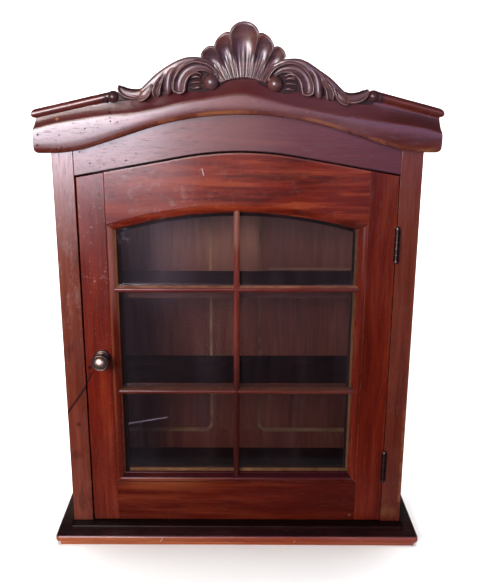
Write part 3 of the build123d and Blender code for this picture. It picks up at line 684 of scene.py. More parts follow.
# %% Build boards with a rounded nose
def plan_outline(half, front, back, corner):
    """A board's plan with rounded front corners, counter-clockwise from the back left."""
    line = [(-half, back)]
    for x_sign, start in ((-1, 180), (1, 270)):
        middle = (x_sign * (half - corner), front + corner)
        for turn_deg in steps_between(start, start + 90, 5):
            angle = math.radians(turn_deg)
            line.append((middle[0] + corner * math.cos(angle), middle[1] + corner * math.sin(angle)))
    return line + [(half, back)]


def nosed_board(half, front, back, low, high, nose, under, corner):
    """A board whose front and side edges are rounded over, by the nose on top and a little underneath."""
    quarter = steps_between(0, math.pi / 2, 6)
    layers = [(low + under * (1 - math.cos(a)), under * (1 - math.sin(a))) for a in quarter]
    layers += [(high - nose * (1 - math.sin(a)), nose * (1 - math.cos(a))) for a in quarter]
    rings = []
    for z, inset in layers:
        outline = plan_outline(half - inset, front + inset, back, max(corner - inset, 0.4))
        rings.append([(x, y, z) for x, y in outline])
    scratch = bmesh.new()
    skin(scratch, rings)
    return scratch


# %% [markdown]
# ## A nosing with dirt and painted shade
# Dust settles on whatever looks up and polish laid over it darkens it, and here those faces
# are also darkened as painted shade, while the roll of the nose below stays clear and shows
# its red. No picture is needed for this: a mask asks how far the surface looks up. The step
# above is painted almost black as shade, with its arris worn pale and partly painted as a
# highlight.

# %% Mix the woods of the base, and put both boards on
NOSE = (0.100, 0.0130, 0.0060), (0.280, 0.0480, 0.0190), (0.500, 0.1300, 0.0500)
# The step's near-black colours are painted shade over dark wood.
SHADED_STEP = (0.010, 0.003, 0.003), (0.024, 0.007, 0.006), (0.050, 0.014, 0.010)
NOSE_SCRATCH, NOSE_CHIP = ((-88.5, -5.0), (-92.6, -12.6)), ((71.5, -8.8), (68.0, -12.6))


def dirt_and_shade_on_top(tree, look):
    """Dirt and painted shade, dark and dull, on faces that look up."""
    patchy = patches(here(tree)[0], 18.0, 0.25, 0.6, 0.65, 0.95)
    # Faces that look up are darkened and dulled: old dirt, and painted shade where little light falls.
    stain(look, stretch(facing_up(tree), 0.45, 0.95), (0.012, 0.0045, 0.0045), patchy, 0.75)


def nose_marks(tree, look):
    """Dirt and painted shade on top, a painted grey reflection beside the step, a painted mauve highlight
    along the roll of the nose, a scratch and a chip.
    """
    place, across, deep, _ = here(tree)
    up = facing_up(tree)
    stain(look, stretch(across, 0.04, -0.12), (0.62, 0.22, 0.085), 0.40)
    stain(look, stretch(across, 0.05, 0.16), (0.34, 0.10, 0.075), 0.40)
    # A painted mauve highlight along the upper roll of the nose, stronger on the left.
    nose_highlight = product(stretch(up, 0.10, 0.45), stretch(across, 0.10, -0.10, 0.35, 0.65))
    stain(look, nose_highlight, (0.200, 0.085, 0.125), 1.0)
    for first, second in (NOSE_SCRATCH, NOSE_CHIP):
        stain(look, near_line(place, first, second, 0.7), (0.75, 0.50, 0.38), 0.8)
    dirt_and_shade_on_top(tree, look)
    # More painted shade on the faces that look up most.
    stain(look, stretch(up, 0.70, 0.95), (0.036, 0.012, 0.017), 0.55)
    # A painted grey reflection of the pale paper on the base's top beside the step.
    outside = stretch(maths("ABSOLUTE", across), 0.196, 0.212)
    grey_reflection_beside_step = product(outside, stretch(deep, -0.060, -0.020), stretch(up, 0.6, 0.9))
    stain(look, grey_reflection_beside_step, (0.085, 0.060, 0.052), 0.55)


base_wood = mahogany("base_mahogany", "X", NOSE, haze=0.01, wear=0.25, level=0.34, marks=nose_marks)
# The step's pale worn arris is partly a painted highlight.
shaded_step_wood = mahogany(
    "step_mahogany_shaded", "X", SHADED_STEP, level=0.15, coat=0.0, wear=0.5, bare=(0.33, 0.20, 0.19), marks=dirt_and_shade_on_top)
for node, name, finish, nose, under, corner in (
    ("base_board", "base_nosing", base_wood, 3.0, 1.6, 4.5),
    ("base_step", "base_upper_step", shaded_step_wood, 1.0, 0.6, 2.0),
):
    low, high = [corner_point / MM for corner_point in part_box(node)]
    scratch = nosed_board(high.x, low.y, high.y, low.z, high.z, nose, under, corner)
    finish_piece(scratch, name, "case", "mahogany_base", finish, [node])

# %% [markdown]
# ## The arched cornice
# Under a round bead the board bellies forward, meets a slanting neck at an arris and rolls
# under at its foot. The foot climbs from level ends through a soft knee to a round crown,
# the arris wanders a little as hand work does, and the bead runs straight up from each
# corner to a bud beside the carving. A bevel profile swept along a curve keeps one shape,
# so here the board is cut into upright slices instead: in each slice the heights of foot,
# arris and bead are looked up, and the section is drawn between them.

# %% The three lines of the cornice
CORNICE_SLOPE = 0.32
CROWN_RADIUS = 345.0
CROWN = 490.5
KNEE_RADIUS = 160.0
LEVEL_END = 451.0
CREST_X = 6.3
BUD_X = 135.2
BEAD_OUT = 10.5
BEAD_RADIUS = 4.5
BEAD_AT_CORNER = 492.5
BEAD_AT_BUD = 510.5
BOARD_RISE = 41.0
ARRIS = [
    (-216, 476.5), (-195, 482.5), (-170, 487.0), (-139, 491.3), (-109, 493.6), (-83, 498.1), (-57, 504.2),
    (-30, 508.6), (-5, 512.6), (8, 513.2), (22, 510.3), (47, 503.4), (73, 497.6), (109, 491.0),
    (144, 485.9), (178, 481.2), (198, 477.6), (216, 472.0),
]


def cornice_height(x):
    """Height of the moulding's lower edge: round crown, straight flank, soft knee, level end."""
    half_turn = math.atan(CORNICE_SLOPE)
    peak = CROWN + CROWN_RADIUS * (1 / math.cos(half_turn) - 1)
    reach = abs(x - ARCH_SHIFT)
    knee = (peak - LEVEL_END) / CORNICE_SLOPE
    run = KNEE_RADIUS * math.tan(half_turn / 2)
    if reach > knee + run:
        return LEVEL_END
    if reach > knee - run * math.cos(half_turn):
        return LEVEL_END + KNEE_RADIUS - math.sqrt(KNEE_RADIUS ** 2 - (knee + run - reach) ** 2)
    return gable(x, CORNICE_SLOPE, CROWN_RADIUS, CROWN)


def arris_height(x):
    """A smooth line through the places of the arris: each slope is taken from the neighbours."""
    x = min(max(x, ARRIS[0][0]), ARRIS[-1][0] - 0.1)
    i = max(k for k in range(len(ARRIS) - 1) if ARRIS[k][0] <= x)
    before, start, end, after = (ARRIS[min(max(i + k, 0), len(ARRIS) - 1)] for k in (-1, 0, 1, 2))
    span = end[0] - start[0]
    first = (end[1] - before[1]) / (end[0] - before[0]) * span
    second = (after[1] - start[1]) / (after[0] - start[0]) * span
    t = (x - start[0]) / span
    rise = end[1] - start[1]
    bend, twist = 3 * rise - 2 * first - second, first + second - 2 * rise
    return start[1] + first * t + bend * t ** 2 + twist * t ** 3


def bead_height(x):
    """Height of the bead's axis: a straight line on each flank."""
    side = math.copysign(1.0, x - CREST_X)
    corner = side * (HALF + BEAD_OUT)
    bud = CREST_X + side * BUD_X
    return BEAD_AT_CORNER + (BEAD_AT_BUD - BEAD_AT_CORNER) * (x - corner) / (bud - corner)


print("cornice: foot", LEVEL_END, "to", CROWN)
print("its arris:", round(arris_height(-200)), "to", round(arris_height(5)))

# %% Draw the section of one slice
FOOT_ROUND = 5.5
NECK_OUT = 11.0


def has_bead(x):
    """The bead stops at the buds."""
    return abs(x - CREST_X) > BUD_X


def slice_of_cornice(x):
    """Projection and height of every point round the section that stands at x."""
    foot, arris = cornice_height(x), arris_height(x)
    neck_top = bead_height(x) - BEAD_RADIUS if has_bead(x) else max(foot + BOARD_RISE, BEAD_AT_BUD - 3.0)
    quarter = steps_between(0, math.pi / 2, 6)
    line = [(0.0, foot)]
    line += [(9.0 + 5.6 * math.sin(a), foot + FOOT_ROUND - FOOT_ROUND * math.cos(a)) for a in quarter]
    for share, out in ((0.25, 14.8), (0.5, 14.9), (0.75, 14.8), (0.9, 14.6), (1.0, 14.2)):
        line.append((out, foot + FOOT_ROUND + (arris - foot - FOOT_ROUND) * share))
    for share, out in ((0.06, 13.7), (0.2, 13.0), (0.4, 12.2), (0.6, 11.6), (0.8, 11.2), (0.95, NECK_OUT)):
        line.append((out, arris + (neck_top - arris) * share))
    if has_bead(x):
        axis = bead_height(x)
        for angle in steps_between(math.radians(-78), math.radians(95), 10):
            line.append((BEAD_OUT + BEAD_RADIUS * math.cos(angle), axis + BEAD_RADIUS * math.sin(angle)))
        return line + [(0.0, axis + BEAD_RADIUS)]
    for share in steps_between(0.0, 0.85, 10):
        line.append((NECK_OUT * (1 - share), neck_top - 0.6 * (1 - share) ** 6))
    return line + [(0.0, neck_top)]


# %% Join the slices
def cornice_corner(side):
    """The mitred section at a corner: each point stands as far out sideways as it does forward."""
    outs = [out for out, height in slice_of_cornice(side * HALF)]
    heights = [slice_of_cornice(side * (HALF + out))[i][1] for i, out in enumerate(outs)]
    return [(side * (HALF + out), FACE - out, LEVEL + height) for out, height in zip(outs, heights)]


def cornice_front():
    """The whole front moulding, mitred at both ends, its slices closed up where the beads stop."""
    stations = [x for x in steps_between(-HALF, HALF, 200) if abs(abs(x - CREST_X) - BUD_X) > 1.2]
    stations += [CREST_X + side * (BUD_X + gap) for side in (-1, 1) for gap in (-0.4, 0.4)]
    rings = [cornice_corner(-1)]
    for x in sorted(stations):
        rings.append([(x, FACE - out, LEVEL + height) for out, height in slice_of_cornice(x)])
    scratch = bmesh.new()
    skin(scratch, rings + [cornice_corner(1)])
    return scratch


# %% [markdown]
# ## The buds
# Where each bead stops it swells into a small ovoid bud with a collar, turned in one piece
# with it to the eye. A sphere would look stuck on, so the bud is a turned shape, its axis
# laid along the bead and its top level with it.

# %% Turn the buds
def add_turned(scratch, profile, origin, axis, around=32):
    """A turned shape: a list of distance along the axis and radius, spun about the axis."""
    axis = Vector(axis).normalized()
    across = axis.orthogonal().normalized()
    other = axis.cross(across)
    rings = []
    for along, radius in profile:
        middle = Vector(origin) + axis * along
        rings.append([
            middle + (across * math.cos(a) + other * math.sin(a)) * max(radius, 0.01)
            for a in steps_between(0, 2 * math.pi, around)[:-1]
        ])
    skin(scratch, rings)


BUD_PROFILE = [
    (-6.8, 0.0), (-6.6, 1.8), (-5.7, 3.7), (-4.1, 5.2), (-2.0, 6.1), (0.2, 6.3), (2.4, 5.8), (4.2, 4.6),
    (5.3, 3.7), (6.0, 4.6), (7.0, 5.2), (8.0, 4.8), (8.8, 3.6),
]
BUD_DROP = 1.5


def add_bud(scratch, side):
    """One bud at the end of its bead."""
    x = CREST_X + side * BUD_X
    outward = (side * 10, 0, bead_height(x + side * 10) - bead_height(x))
    add_turned(scratch, BUD_PROFILE, (x, FACE - BEAD_OUT, LEVEL + bead_height(x) - BUD_DROP), outward)


# %% [markdown]
# ## What the cornice has seen
# The neck under the carving is darker and dull, the buds are dark, and the foot that rolls
# under has been rubbed to amber. Woodworm has been at the left flank. Each of these is a mask
# from a height, a distance from the middle or the way that the surface looks.

# %% Mix the woods of the cornice
def cornice_marks(tree, look):
    """A dark, dull neck under the carving, dark buds, amber where the foot rolls under, pits on the left, a
    painted purple reflection.
    """
    place, across, deep, height = here(tree)
    aside = maths("ABSOLUTE", maths("SUBTRACT", across, 0.006))
    up = facing_up(tree)
    neck = product(stretch(up, 0.05, 0.12), stretch(deep, -0.0674, -0.0668))
    smear = patches(place, 22.0, 0.35, 0.6, 0.65, 1.0, rough=0.65)
    # The neck under the carving is darkened and dulled.
    under_carving = product(neck, smear, stretch(aside, 0.120, 0.160, 1.0, 0.45))
    stain(look, under_carving, (0.095, 0.020, 0.026), 0.92, 1.0)
    stain(look, product(neck, stretch(across, 0.130, 0.165)), (0.060, 0.022, 0.026), 0.55, 0.5)
    # The buds are darkened.
    bud = product(between(aside, 0.125, 0.127, 0.145, 0.147), stretch(height, 0.5165, 0.5180))
    stain(look, bud, (0.060, 0.024, 0.028), 0.9, 0.3)
    below_bead = maths("LESS_THAN", maths("ADD", height, product(aside, 0.10)), 0.5175)
    patchy = patches(place, 30.0, 0.40, 0.60, 0.15, 1.0, rough=0.65)
    under = product(between(up, -0.97, -0.80, -0.30, -0.04), below_bead, patchy)
    stain(look, under, (0.44, 0.160, 0.075), stretch(across, -0.16, -0.05, 0.1, 0.8))
    crowd = product(stretch(across, -0.07, -0.15, 0.10, 1.0), patches(place, 14.0, 0.42, 0.55, detail=2.0))
    for scale, size, share in ((150.0, 0.0009, 0.45), (90.0, 0.0012, 0.20)):
        stain(look, pits(place, scale, size, share), (0.020, 0.007, 0.012), crowd, 0.9)
    # A painted purple reflection just right of the middle.
    stain(look, between(across, 0.00, 0.05, 0.12, 0.17), (0.20, 0.085, 0.120), 0.30)
    chips = maths("MAXIMUM", spot(place, (-188.1, 486.7), 2.2), spot(place, (116.2, 467.8), 1.6))
    stain(look, chips, RAW_WOOD, 0.85, 0.5)


cornice_wood = mahogany("cornice_mahogany", "X", PLUM, haze=0.07, gloss=(0.19, 0.30), marks=cornice_marks)
cornice_side_wood = mahogany("cornice_mahogany_side", "Y", PLUM, haze=0.07)

# %% Put the cornice together, and run it back along the sides
front_moulding = cornice_front()
for side in (-1, 1):
    add_bud(front_moulding, side)
moulded = {"edge_angle": 40.0, "weighted": False}
finish_piece(
    front_moulding, "cornice_moulding", "case", "mahogany_cornice", cornice_wood, ["cornice_front"],
    **moulded)
for side, name in ((-1, "left"), (1, "right")):
    strip = bmesh.new()
    corner = cornice_corner(side)
    rings = [[(x, y + (BACK - y) * share, z) for x, y, z in corner] for share in steps_between(0.0, 1.0, 6)]
    skin(strip, rings)
    stands_for = ["cornice_return_" + name]
    finish_piece(
        strip, "cornice_side_" + name, "case", "mahogany_cornice", cornice_side_wood, stands_for, **moulded)

# %% [markdown]
# ## The carved scrolls
# On each side of the shell a C-scroll rolls round a ball: a scooped channel between two
# raised rims that meet in a rounded lip. From its back a broad leaf runs down to a curled
# tail, with blunt fingers hanging over the moulding. Sculpting can't be written down, but a
# carver's strokes can: every rim and leaf is one stroke, a short line of places with a half
# width and a height at each. A stroke is lofted with a rounded or a hollow section and a
# domed end, all strokes overlap, and a voxel remesh melts them into one solid, as if cut
# from one block. A little smoothing leaves the edges soft with wear.

# %% Turn strokes into solids
CREST_BED = 3.0
ROUND_SECTION = [
    (-1.0, 0.0), (-1.0, 0.50), (-0.86, 0.78), (-0.5, 0.95), (0.0, 1.0), (0.5, 0.95), (0.86, 0.78),
    (1.0, 0.50), (1.0, 0.0),
]
FLAT_SECTION = [
    (-1.0, 0.0), (-1.0, 0.74), (-0.88, 0.88), (-0.6, 0.96), (0.0, 1.0), (0.6, 0.98), (0.88, 0.93),
    (1.0, 0.84), (1.0, 0.0),
]
SCOOP_SECTION = [
    (-1.0, 0.0), (-1.0, 0.90), (-0.7, 0.83), (-0.35, 0.78), (0.0, 0.77), (0.35, 0.80), (0.7, 0.86),
    (1.0, 0.93), (1.0, 0.0),
]
HOLLOW_SECTION = [
    (-1.0, 0.0), (-1.0, 0.80), (-0.86, 0.98), (-0.68, 1.0), (-0.42, 0.80), (0.0, 0.66), (0.42, 0.80),
    (0.68, 1.0), (0.86, 0.98), (1.0, 0.80), (1.0, 0.0),
]


def eased(before, start, end, after, t):
    """A number a share t of the way from start to end, on a smooth run through all four."""
    bend, twist = 2 * before - 5 * start + 4 * end - after, 3 * start - before - 3 * end + after
    return 0.5 * (2 * start + (end - before) * t + bend * t * t + twist * t ** 3)


def flowing(places, steps=6):
    """A smooth line through a few places; each may carry a width and a height along."""
    ends = [places[0]] + list(places) + [places[-1]]
    line = []
    for four in zip(ends, ends[1:], ends[2:], ends[3:]):
        for step in range(steps):
            line.append(tuple(eased(*numbers, step / steps) for numbers in zip(*four)))
    return line + [tuple(places[-1])]


def domed(line):
    """Three more places that round off the end of a stroke."""
    (u0, h0, *_), (u1, h1, half, rise) = line[-2], line[-1]
    length = math.hypot(u1 - u0, h1 - h0)
    ahead = ((u1 - u0) / length, (h1 - h0) / length)
    more = []
    for turn_deg in (35, 62, 85):
        angle = math.radians(turn_deg)
        reach = half * math.sin(angle)
        low = rise - 0.28 * (rise - CREST_BED) * (1 - math.cos(angle))
        more.append((u1 + ahead[0] * reach, h1 + ahead[1] * reach, half * max(math.cos(angle), 0.12), low))
    return line + more


def on_crest(side, across, height, out):
    """A place on the carving: across from its middle, over the level line, and out from the case."""
    if side > 0:
        height = height - right_hand_drop(across)
    return (CREST_X + side * across, FACE - out, LEVEL + height)


def right_hand_drop(across):
    """The right-hand scroll was cut a little lower, its leaf most of all."""
    share = min(max((across - 56) / 28, 0.0), 1.0)
    return 1.8 + 2.7 * share * share * (3 - 2 * share)


def add_stroke(scratch, side, places, section):
    """One lofted stroke of the carving."""
    line = domed(flowing(places))
    rings = []
    for i, (across, height, half, rise) in enumerate(line):
        before, after = line[max(i - 1, 0)], line[min(i + 1, len(line) - 1)]
        run, climb = after[0] - before[0], after[1] - before[1]
        length = math.hypot(run, climb) or 1.0
        square = (-climb / length, run / length)
        ring = []
        for aside, lift in section:
            place = (across + square[0] * aside * half, height + square[1] * aside * half)
            ring.append(on_crest(side, *place, CREST_BED + (rise - CREST_BED) * lift))
        rings.append(ring)
    skin(scratch, rings)


# %% The strokes of one scroll: place across, height, half width and projection
SCROLL_STROKES = {
    "back of the leaf": (FLAT_SECTION, (
        (31, 540.5, 2.2, 15.5), (39, 544.2, 2.6, 17.0), (48, 545.6, 3.0, 18.2), (56, 545.0, 3.5, 18.6),
        (63.6, 542.2, 4.2, 18.8), (69.6, 538.6, 5.0, 18.8), (76, 534.4, 5.6, 18.2),
        (82.6, 529.6, 6.2, 17.4), (89.4, 524.2, 6.2, 17.0), (96, 518.8, 5.6, 16.8),
        (103, 513.6, 4.8, 16.4),
    )),
    "broad band": (ROUND_SECTION, (
        (66, 540.0, 2.4, 18.4), (71.4, 536.8, 3.8, 19.2), (75.0, 531.4, 4.6, 19.8),
        (76.8, 524.8, 5.0, 20.0), (77.4, 518.4, 5.0, 20.0), (77.6, 515.6, 4.7, 19.8),
    )),
    "middle finger": (HOLLOW_SECTION, (
        (80.6, 533.0, 0.9, 18.0), (83.0, 528.4, 2.0, 18.8), (86.2, 523.2, 3.3, 19.6),
        (88.6, 518.0, 4.3, 20.0), (89.4, 513.6, 4.8, 20.0),
    )),
    "outer finger": (ROUND_SECTION, (
        (92.5, 523.5, 2.4, 17.0), (97.0, 517.0, 4.6, 17.6), (101.0, 512.2, 5.8, 17.8),
        (103.2, 510.6, 5.8, 17.6),
    )),
    "rim of the outer finger": (ROUND_SECTION, (
        (93.8, 520.5, 1.0, 18.4), (95.2, 516.0, 1.4, 19.4), (96.9, 511.6, 1.6, 19.9),
        (100.2, 507.8, 1.7, 20.0), (104.4, 505.6, 1.7, 20.0), (107.8, 506.0, 1.5, 19.6),
        (109.0, 508.6, 1.2, 18.8),
    )),
    "tail": (ROUND_SECTION, (
        (127.0, 518.2, 2.6, 14.4), (122.2, 514.0, 4.6, 15.0), (116.5, 512.0, 5.3, 15.4),
        (109.5, 511.6, 5.4, 15.8), (103, 513.4, 5.0, 16.0),
    )),
    "rim of the tail": (ROUND_SECTION, (
        (128.0, 520.6, 1.2, 16.8), (128.7, 516.6, 1.5, 18.2), (126.2, 512.4, 1.5, 19.0),
        (122.4, 509.6, 1.6, 19.2), (116.8, 507.8, 1.6, 19.0), (111.0, 507.4, 1.4, 18.2),
    )),
    "channel of the scroll": (SCOOP_SECTION, (
        (29.5, 530.5, 2.0, 16.4), (33.0, 535.0, 3.0, 17.6), (39.5, 538.6, 4.0, 18.6),
        (47.6, 539.6, 4.8, 19.4), (55.0, 538.0, 5.2, 19.6), (61.2, 534.0, 5.2, 19.6),
        (65.2, 528.4, 5.0, 19.6), (67.0, 522.8, 4.8, 19.4), (67.2, 517.6, 4.4, 19.0),
    )),
    "outer rim of the scroll": (ROUND_SECTION, (
        (25.8, 526.6, 1.2, 17.0), (27.8, 533.0, 1.4, 18.6), (32.8, 538.8, 1.5, 19.8),
        (39.8, 542.2, 1.6, 20.4), (48.0, 543.7, 1.6, 20.8), (55.4, 542.2, 1.6, 20.8),
        (60.8, 539.3, 1.6, 20.8), (65.0, 535.8, 1.6, 20.8), (68.2, 531.6, 1.6, 20.6),
        (70.6, 526.6, 1.6, 20.4), (71.8, 521.2, 1.6, 20.2), (71.8, 517.0, 1.6, 20.0),
    )),
    "lip": (ROUND_SECTION, (
        (71.8, 518.0, 1.5, 20.0), (70.6, 514.8, 1.8, 19.8), (66.2, 512.9, 2.0, 19.6),
        (61.8, 514.0, 2.0, 19.6), (60.2, 517.6, 2.2, 19.4),
    )),
    "inner rim": (ROUND_SECTION, (
        (42.5, 531.0, 1.0, 16.6), (47.0, 532.8, 1.5, 18.0), (51.6, 532.4, 2.0, 19.0),
        (55.6, 529.8, 2.3, 19.4), (58.4, 525.8, 2.4, 19.6), (60.0, 521.0, 2.4, 19.6),
        (60.5, 516.6, 2.3, 19.4),
    )),
    "web to the shell": (ROUND_SECTION, (
        (36, 518.4, 4.6, 13.3), (27, 521.6, 4.4, 13.3), (16, 526.6, 3.2, 13.2),
    )),
    "upper wrinkle": (ROUND_SECTION, (
        (43.0, 527.0, 1.2, 13.8), (46.6, 528.9, 2.0, 15.6), (51.0, 528.6, 1.8, 15.4),
        (54.0, 526.4, 1.0, 13.8),
    )),
    "middle wrinkle": (ROUND_SECTION, (
        (41.6, 522.6, 1.0, 13.6), (46.0, 523.6, 1.7, 14.9), (52.0, 523.2, 1.6, 14.8),
        (56.0, 521.0, 0.9, 13.6),
    )),
    "lower wrinkle": (ROUND_SECTION, (
        (42.6, 517.2, 1.2, 13.8), (46.0, 518.4, 1.9, 15.2), (50.4, 517.6, 1.5, 14.8),
        (54.6, 518.2, 0.9, 13.8),
    )),
}
GROUND = (
    (20.0, 523.5), (27.0, 534.0), (30.5, 538.0), (38.0, 544.0), (46.0, 546.0), (54.0, 545.6),
    (62.0, 542.4), (70.0, 538.0), (79.0, 531.0), (88.0, 523.4), (97.0, 517.0), (106.0, 513.6),
    (116.0, 513.0), (126.0, 515.0), (133.5, 512.5), (134.5, 505.0), (124.0, 505.0), (110.0, 507.0),
    (100.0, 510.0), (92.0, 513.0), (84.0, 514.0), (74.0, 515.0), (66.0, 514.6), (56.0, 514.6),
    (44.0, 513.4), (33.0, 515.5), (26.0, 518.6),
)
GROUND_OUT = 12.8
VOLUTE = (32.8, 523.4)
VOLUTE_RADIUS = 7.8
VOLUTE_OUT = 14.0


def melted(scratch, voxel, softening):
    """The strokes of a scratch mesh as one solid, a voxel at a time, then softened."""
    bmesh.ops.recalc_face_normals(scratch, faces=scratch.faces)
    mesh = bpy.data.meshes.new("strokes")
    scratch.to_mesh(mesh)
    scratch.free()
    block = put("strokes", mesh)
    melt = block.modifiers.new("melt", "REMESH")
    melt.mode = "VOXEL"
    melt.voxel_size = voxel
    soften = block.modifiers.new("soften", "SMOOTH")
    soften.factor = 0.5
    soften.iterations = softening
    solid = bmesh.new()
    solid.from_object(block, bpy.context.evaluated_depsgraph_get())
    bpy.data.objects.remove(block)
    bpy.data.meshes.remove(mesh)
    return solid


# %% Carve both scrolls
def carved_scroll(side):
    """All strokes of one scroll with the ground behind them and the ball that it rolls round."""
    scratch = bmesh.new()
    skin(scratch, [[on_crest(side, *point, out) for point in GROUND] for out in (GROUND_OUT, CREST_BED)])
    for section, places in SCROLL_STROKES.values():
        add_stroke(scratch, side, places, section)
    half_round = steps_between(0, math.pi, 20)
    ball = [(-VOLUTE_RADIUS * math.cos(a), VOLUTE_RADIUS * math.sin(a)) for a in half_round]
    add_turned(scratch, ball, on_crest(side, *VOLUTE, VOLUTE_OUT), (0, -1, 0))
    return melted(scratch, voxel=0.55, softening=2)


# %% [markdown]
# ## Dark recesses and pale ridges
# On old carving the polish gathers dirt and darkens in the hollows, while hands and dusters
# keep the ridges bright; here the hollows are also darkened as painted shade and the ridges
# lightened as a painted highlight. The remeshed carving has enough faces for the pointiness
# value to tell ridge from hollow, so no picture is needed.

# %% The finish of the carving
def carving_finish(name, dark_ground):
    """Near-black ground and hollows, with dirt and painted shade, plum-brown flanks, and ridges pale with
    wear and a painted highlight, under a soft polish.
    """
    finish, tree = new_finish(name)
    plain, drawn, _ = board_space(tree, "X")
    point = add(tree, "NewGeometry").outputs["Pointiness"]
    # Hollows, and on the scrolls the low ground, are darkened: dirt and painted shade.
    hollow = stretch(point, 0.478, 0.425)
    if dark_ground:
        behind = (FACE - GROUND_OUT - 2.6) * MM, (FACE - GROUND_OUT - 0.6) * MM
        hollow = maths("MAXIMUM", hollow, stretch(here(tree)[2], *behind))
    # Ridges are lightened: wear and a painted highlight.
    ridge = stretch(point, 0.508, 0.560)
    grain = noise(drawn, 120.0, 6.0, 0.7)
    shades = (0.050, 0.022, 0.033), (0.125, 0.054, 0.066), (0.225, 0.112, 0.120)
    colour = ramp(grain, tuple(zip((0.30, 0.50, 0.70), shades)))
    cloud = noise(plain, 30.0, 4.0, 0.65)
    ridge = product(ridge, stretch(cloud, 0.3, 0.6, 0.35, 0.9))
    colour = mix(ridge, colour, rgb(0.44, 0.260, 0.250))
    worn_red = patches(plain, 42.0, 0.48, 0.66, 0.0, 0.55, detail=3.0)
    colour = mix(worn_red, colour, rgb(0.200, 0.060, 0.038))
    colour = mix(product(hollow, 0.8), colour, rgb(0.020, 0.010, 0.015))
    rough = maths("ADD", stretch(cloud, 0.25, 0.75, 0.26, 0.44), product(hollow, 0.25))
    tool_marks = add(tree, "Bump", {"Strength": 0.35, "Distance": 0.0004, "Height": noise(plain, 220.0, 3.0)})
    look = {
        "Base Color": colour, "Roughness": rough, "Normal": tool_marks.outputs[0],
        "Specular IOR Level": 0.55, "Coat Weight": 0.35, "Coat Roughness": 0.20,
    }
    dull(look, hollow, 0.85)
    cover(tree, add(tree, "BsdfPrincipled", look))
    return finish


scroll_wood = carving_finish("carved_mahogany_scroll", True)
shell_wood = carving_finish("carved_mahogany_shell", False)
for side, name in ((-1, "left"), (1, "right")):
    node = "crest_scroll_" + name
    finish_piece(
        carved_scroll(side), "scroll_" + name, "case", "mahogany_carving", scroll_wood, [node],
        edge_angle=60.0, weighted=False)

# %% [markdown]
# ## The shell
# Five petals fan out from a point below the shell. Each is scooped like a shallow dish, two
# neighbours meet in a ridge, and towards the foot ridges and ribs crowd together as reeds.
# That is one height field in polar coordinates: for every angle and distance a formula gives
# how far the wood stands out. The middle petal stands proudest and laps its neighbours.

# %% Set out the petals
FAN_FOOT = 495.0
WIDEST_HALF_ANGLE = 11.05
PETALS = (
    # middle angle, half angle, radius at the tip, notch radius left and right, lift
    (-32.3, 7.3, 73.4, 68.3, 70.5, -0.3),
    (-17.6, 7.4, 78.0, 70.5, 78.6, 0.7),
    (0.85, WIDEST_HALF_ANGLE, 87.7, 78.6, 78.0, 1.9),
    (19.2, 7.3, 77.6, 78.0, 70.3, 0.7),
    (33.0, 6.6, 73.2, 70.3, 67.8, -0.3),
)
FOOT_RADIUS = 31.0
FOOT_SPREAD = 3.9
EDGE_ROUND = 0.93  # how much of a half circle the edge of a petal follows


def soft_step(low, high, value):
    """Nought below a range, one above it and a soft rise between."""
    t = min(max((value - low) / (high - low), 0.0), 1.0)
    return t * t * (3 - 2 * t)


def petal_reach(petal, across):
    """Distance from the fan's foot to the petal's edge, across from -1 to 1."""
    _, _, tip, notch_left, notch_right, _ = petal
    middle = (notch_left + notch_right) / 2
    line = middle + (notch_right - notch_left) / 2 * across
    flat_end = math.sqrt(1 - EDGE_ROUND ** 2)
    bulge = (math.sqrt(1 - (EDGE_ROUND * across) ** 2) - flat_end) / (1 - flat_end)
    return line + (tip - middle) * bulge


def petal_out(petal, across, share):
    """How far the petal stands out of the case, from its foot (share 0) to its edge (share 1)."""
    size = petal[1] / WIDEST_HALF_ANGLE
    ridge = 14.6 + 2.4 * ((share - 0.45) / 0.5) ** 2 + petal[5] * (0.3 + 0.7 * share)
    edge = (abs(across) ** 2.6 + max((share - 0.58) / 0.42, 0.0) ** 2.6) ** (1 / 2.6)
    depth = (1.3 + 2.9 * soft_step(0.10, 0.70, share)) * (0.40 + 0.60 * size)
    out = ridge - depth * max(1 - edge ** 2.2, 0.0) ** 0.85
    if share > 0.93:
        out -= 2.6 * ((share - 0.93) / 0.07) ** 2
    reeds = 1 - soft_step(0.22, 0.56, share)
    out += 1.0 * math.exp(-((across / 0.20) ** 2)) * reeds
    out += 0.28 * math.cos(5 * math.pi * across) * (1 - soft_step(0.34, 0.70, share))
    out -= 6.0 * max(1 - share / 0.055, 0.0) ** 2
    return out


def carved_shell():
    """The fan of five petals as one closed mesh."""
    columns = []
    for petal in PETALS:
        for a in steps_between(-math.pi / 2, math.pi / 2, 32)[1 if columns else 0:]:
            columns.append((petal, petal[0] + petal[1] * math.sin(a), math.sin(a)))
    shares = [0.5 - 0.5 * math.cos(a) for a in steps_between(0, math.pi, 72)]
    scratch = bmesh.new()
    grid = []
    for petal, degrees, aside in columns:
        angle = math.radians(degrees)
        inner = FOOT_RADIUS + FOOT_SPREAD * (degrees / 40.0) ** 2
        outer = petal_reach(petal, aside)
        grid.append([])
        for share in shares:
            radius = inner + (outer - inner) * share
            x = CREST_X + radius * math.sin(angle)
            z = LEVEL + FAN_FOOT + radius * math.cos(angle)
            grid[-1].append(scratch.verts.new((x, FACE - petal_out(petal, aside, share), z)))
    for left, right in zip(grid, grid[1:]):
        for i in range(len(shares) - 1):
            scratch.faces.new((left[i], left[i + 1], right[i + 1], right[i]))
    rim = [column[0] for column in grid] + grid[-1][1:]
    rim += [column[-1] for column in grid[-2::-1]] + grid[0][-2:0:-1]
    back = [scratch.verts.new((v.co.x, FACE - CREST_BED, v.co.z)) for v in rim]
    walls(scratch, rim, back)
    scratch.faces.new(back)
    return scratch


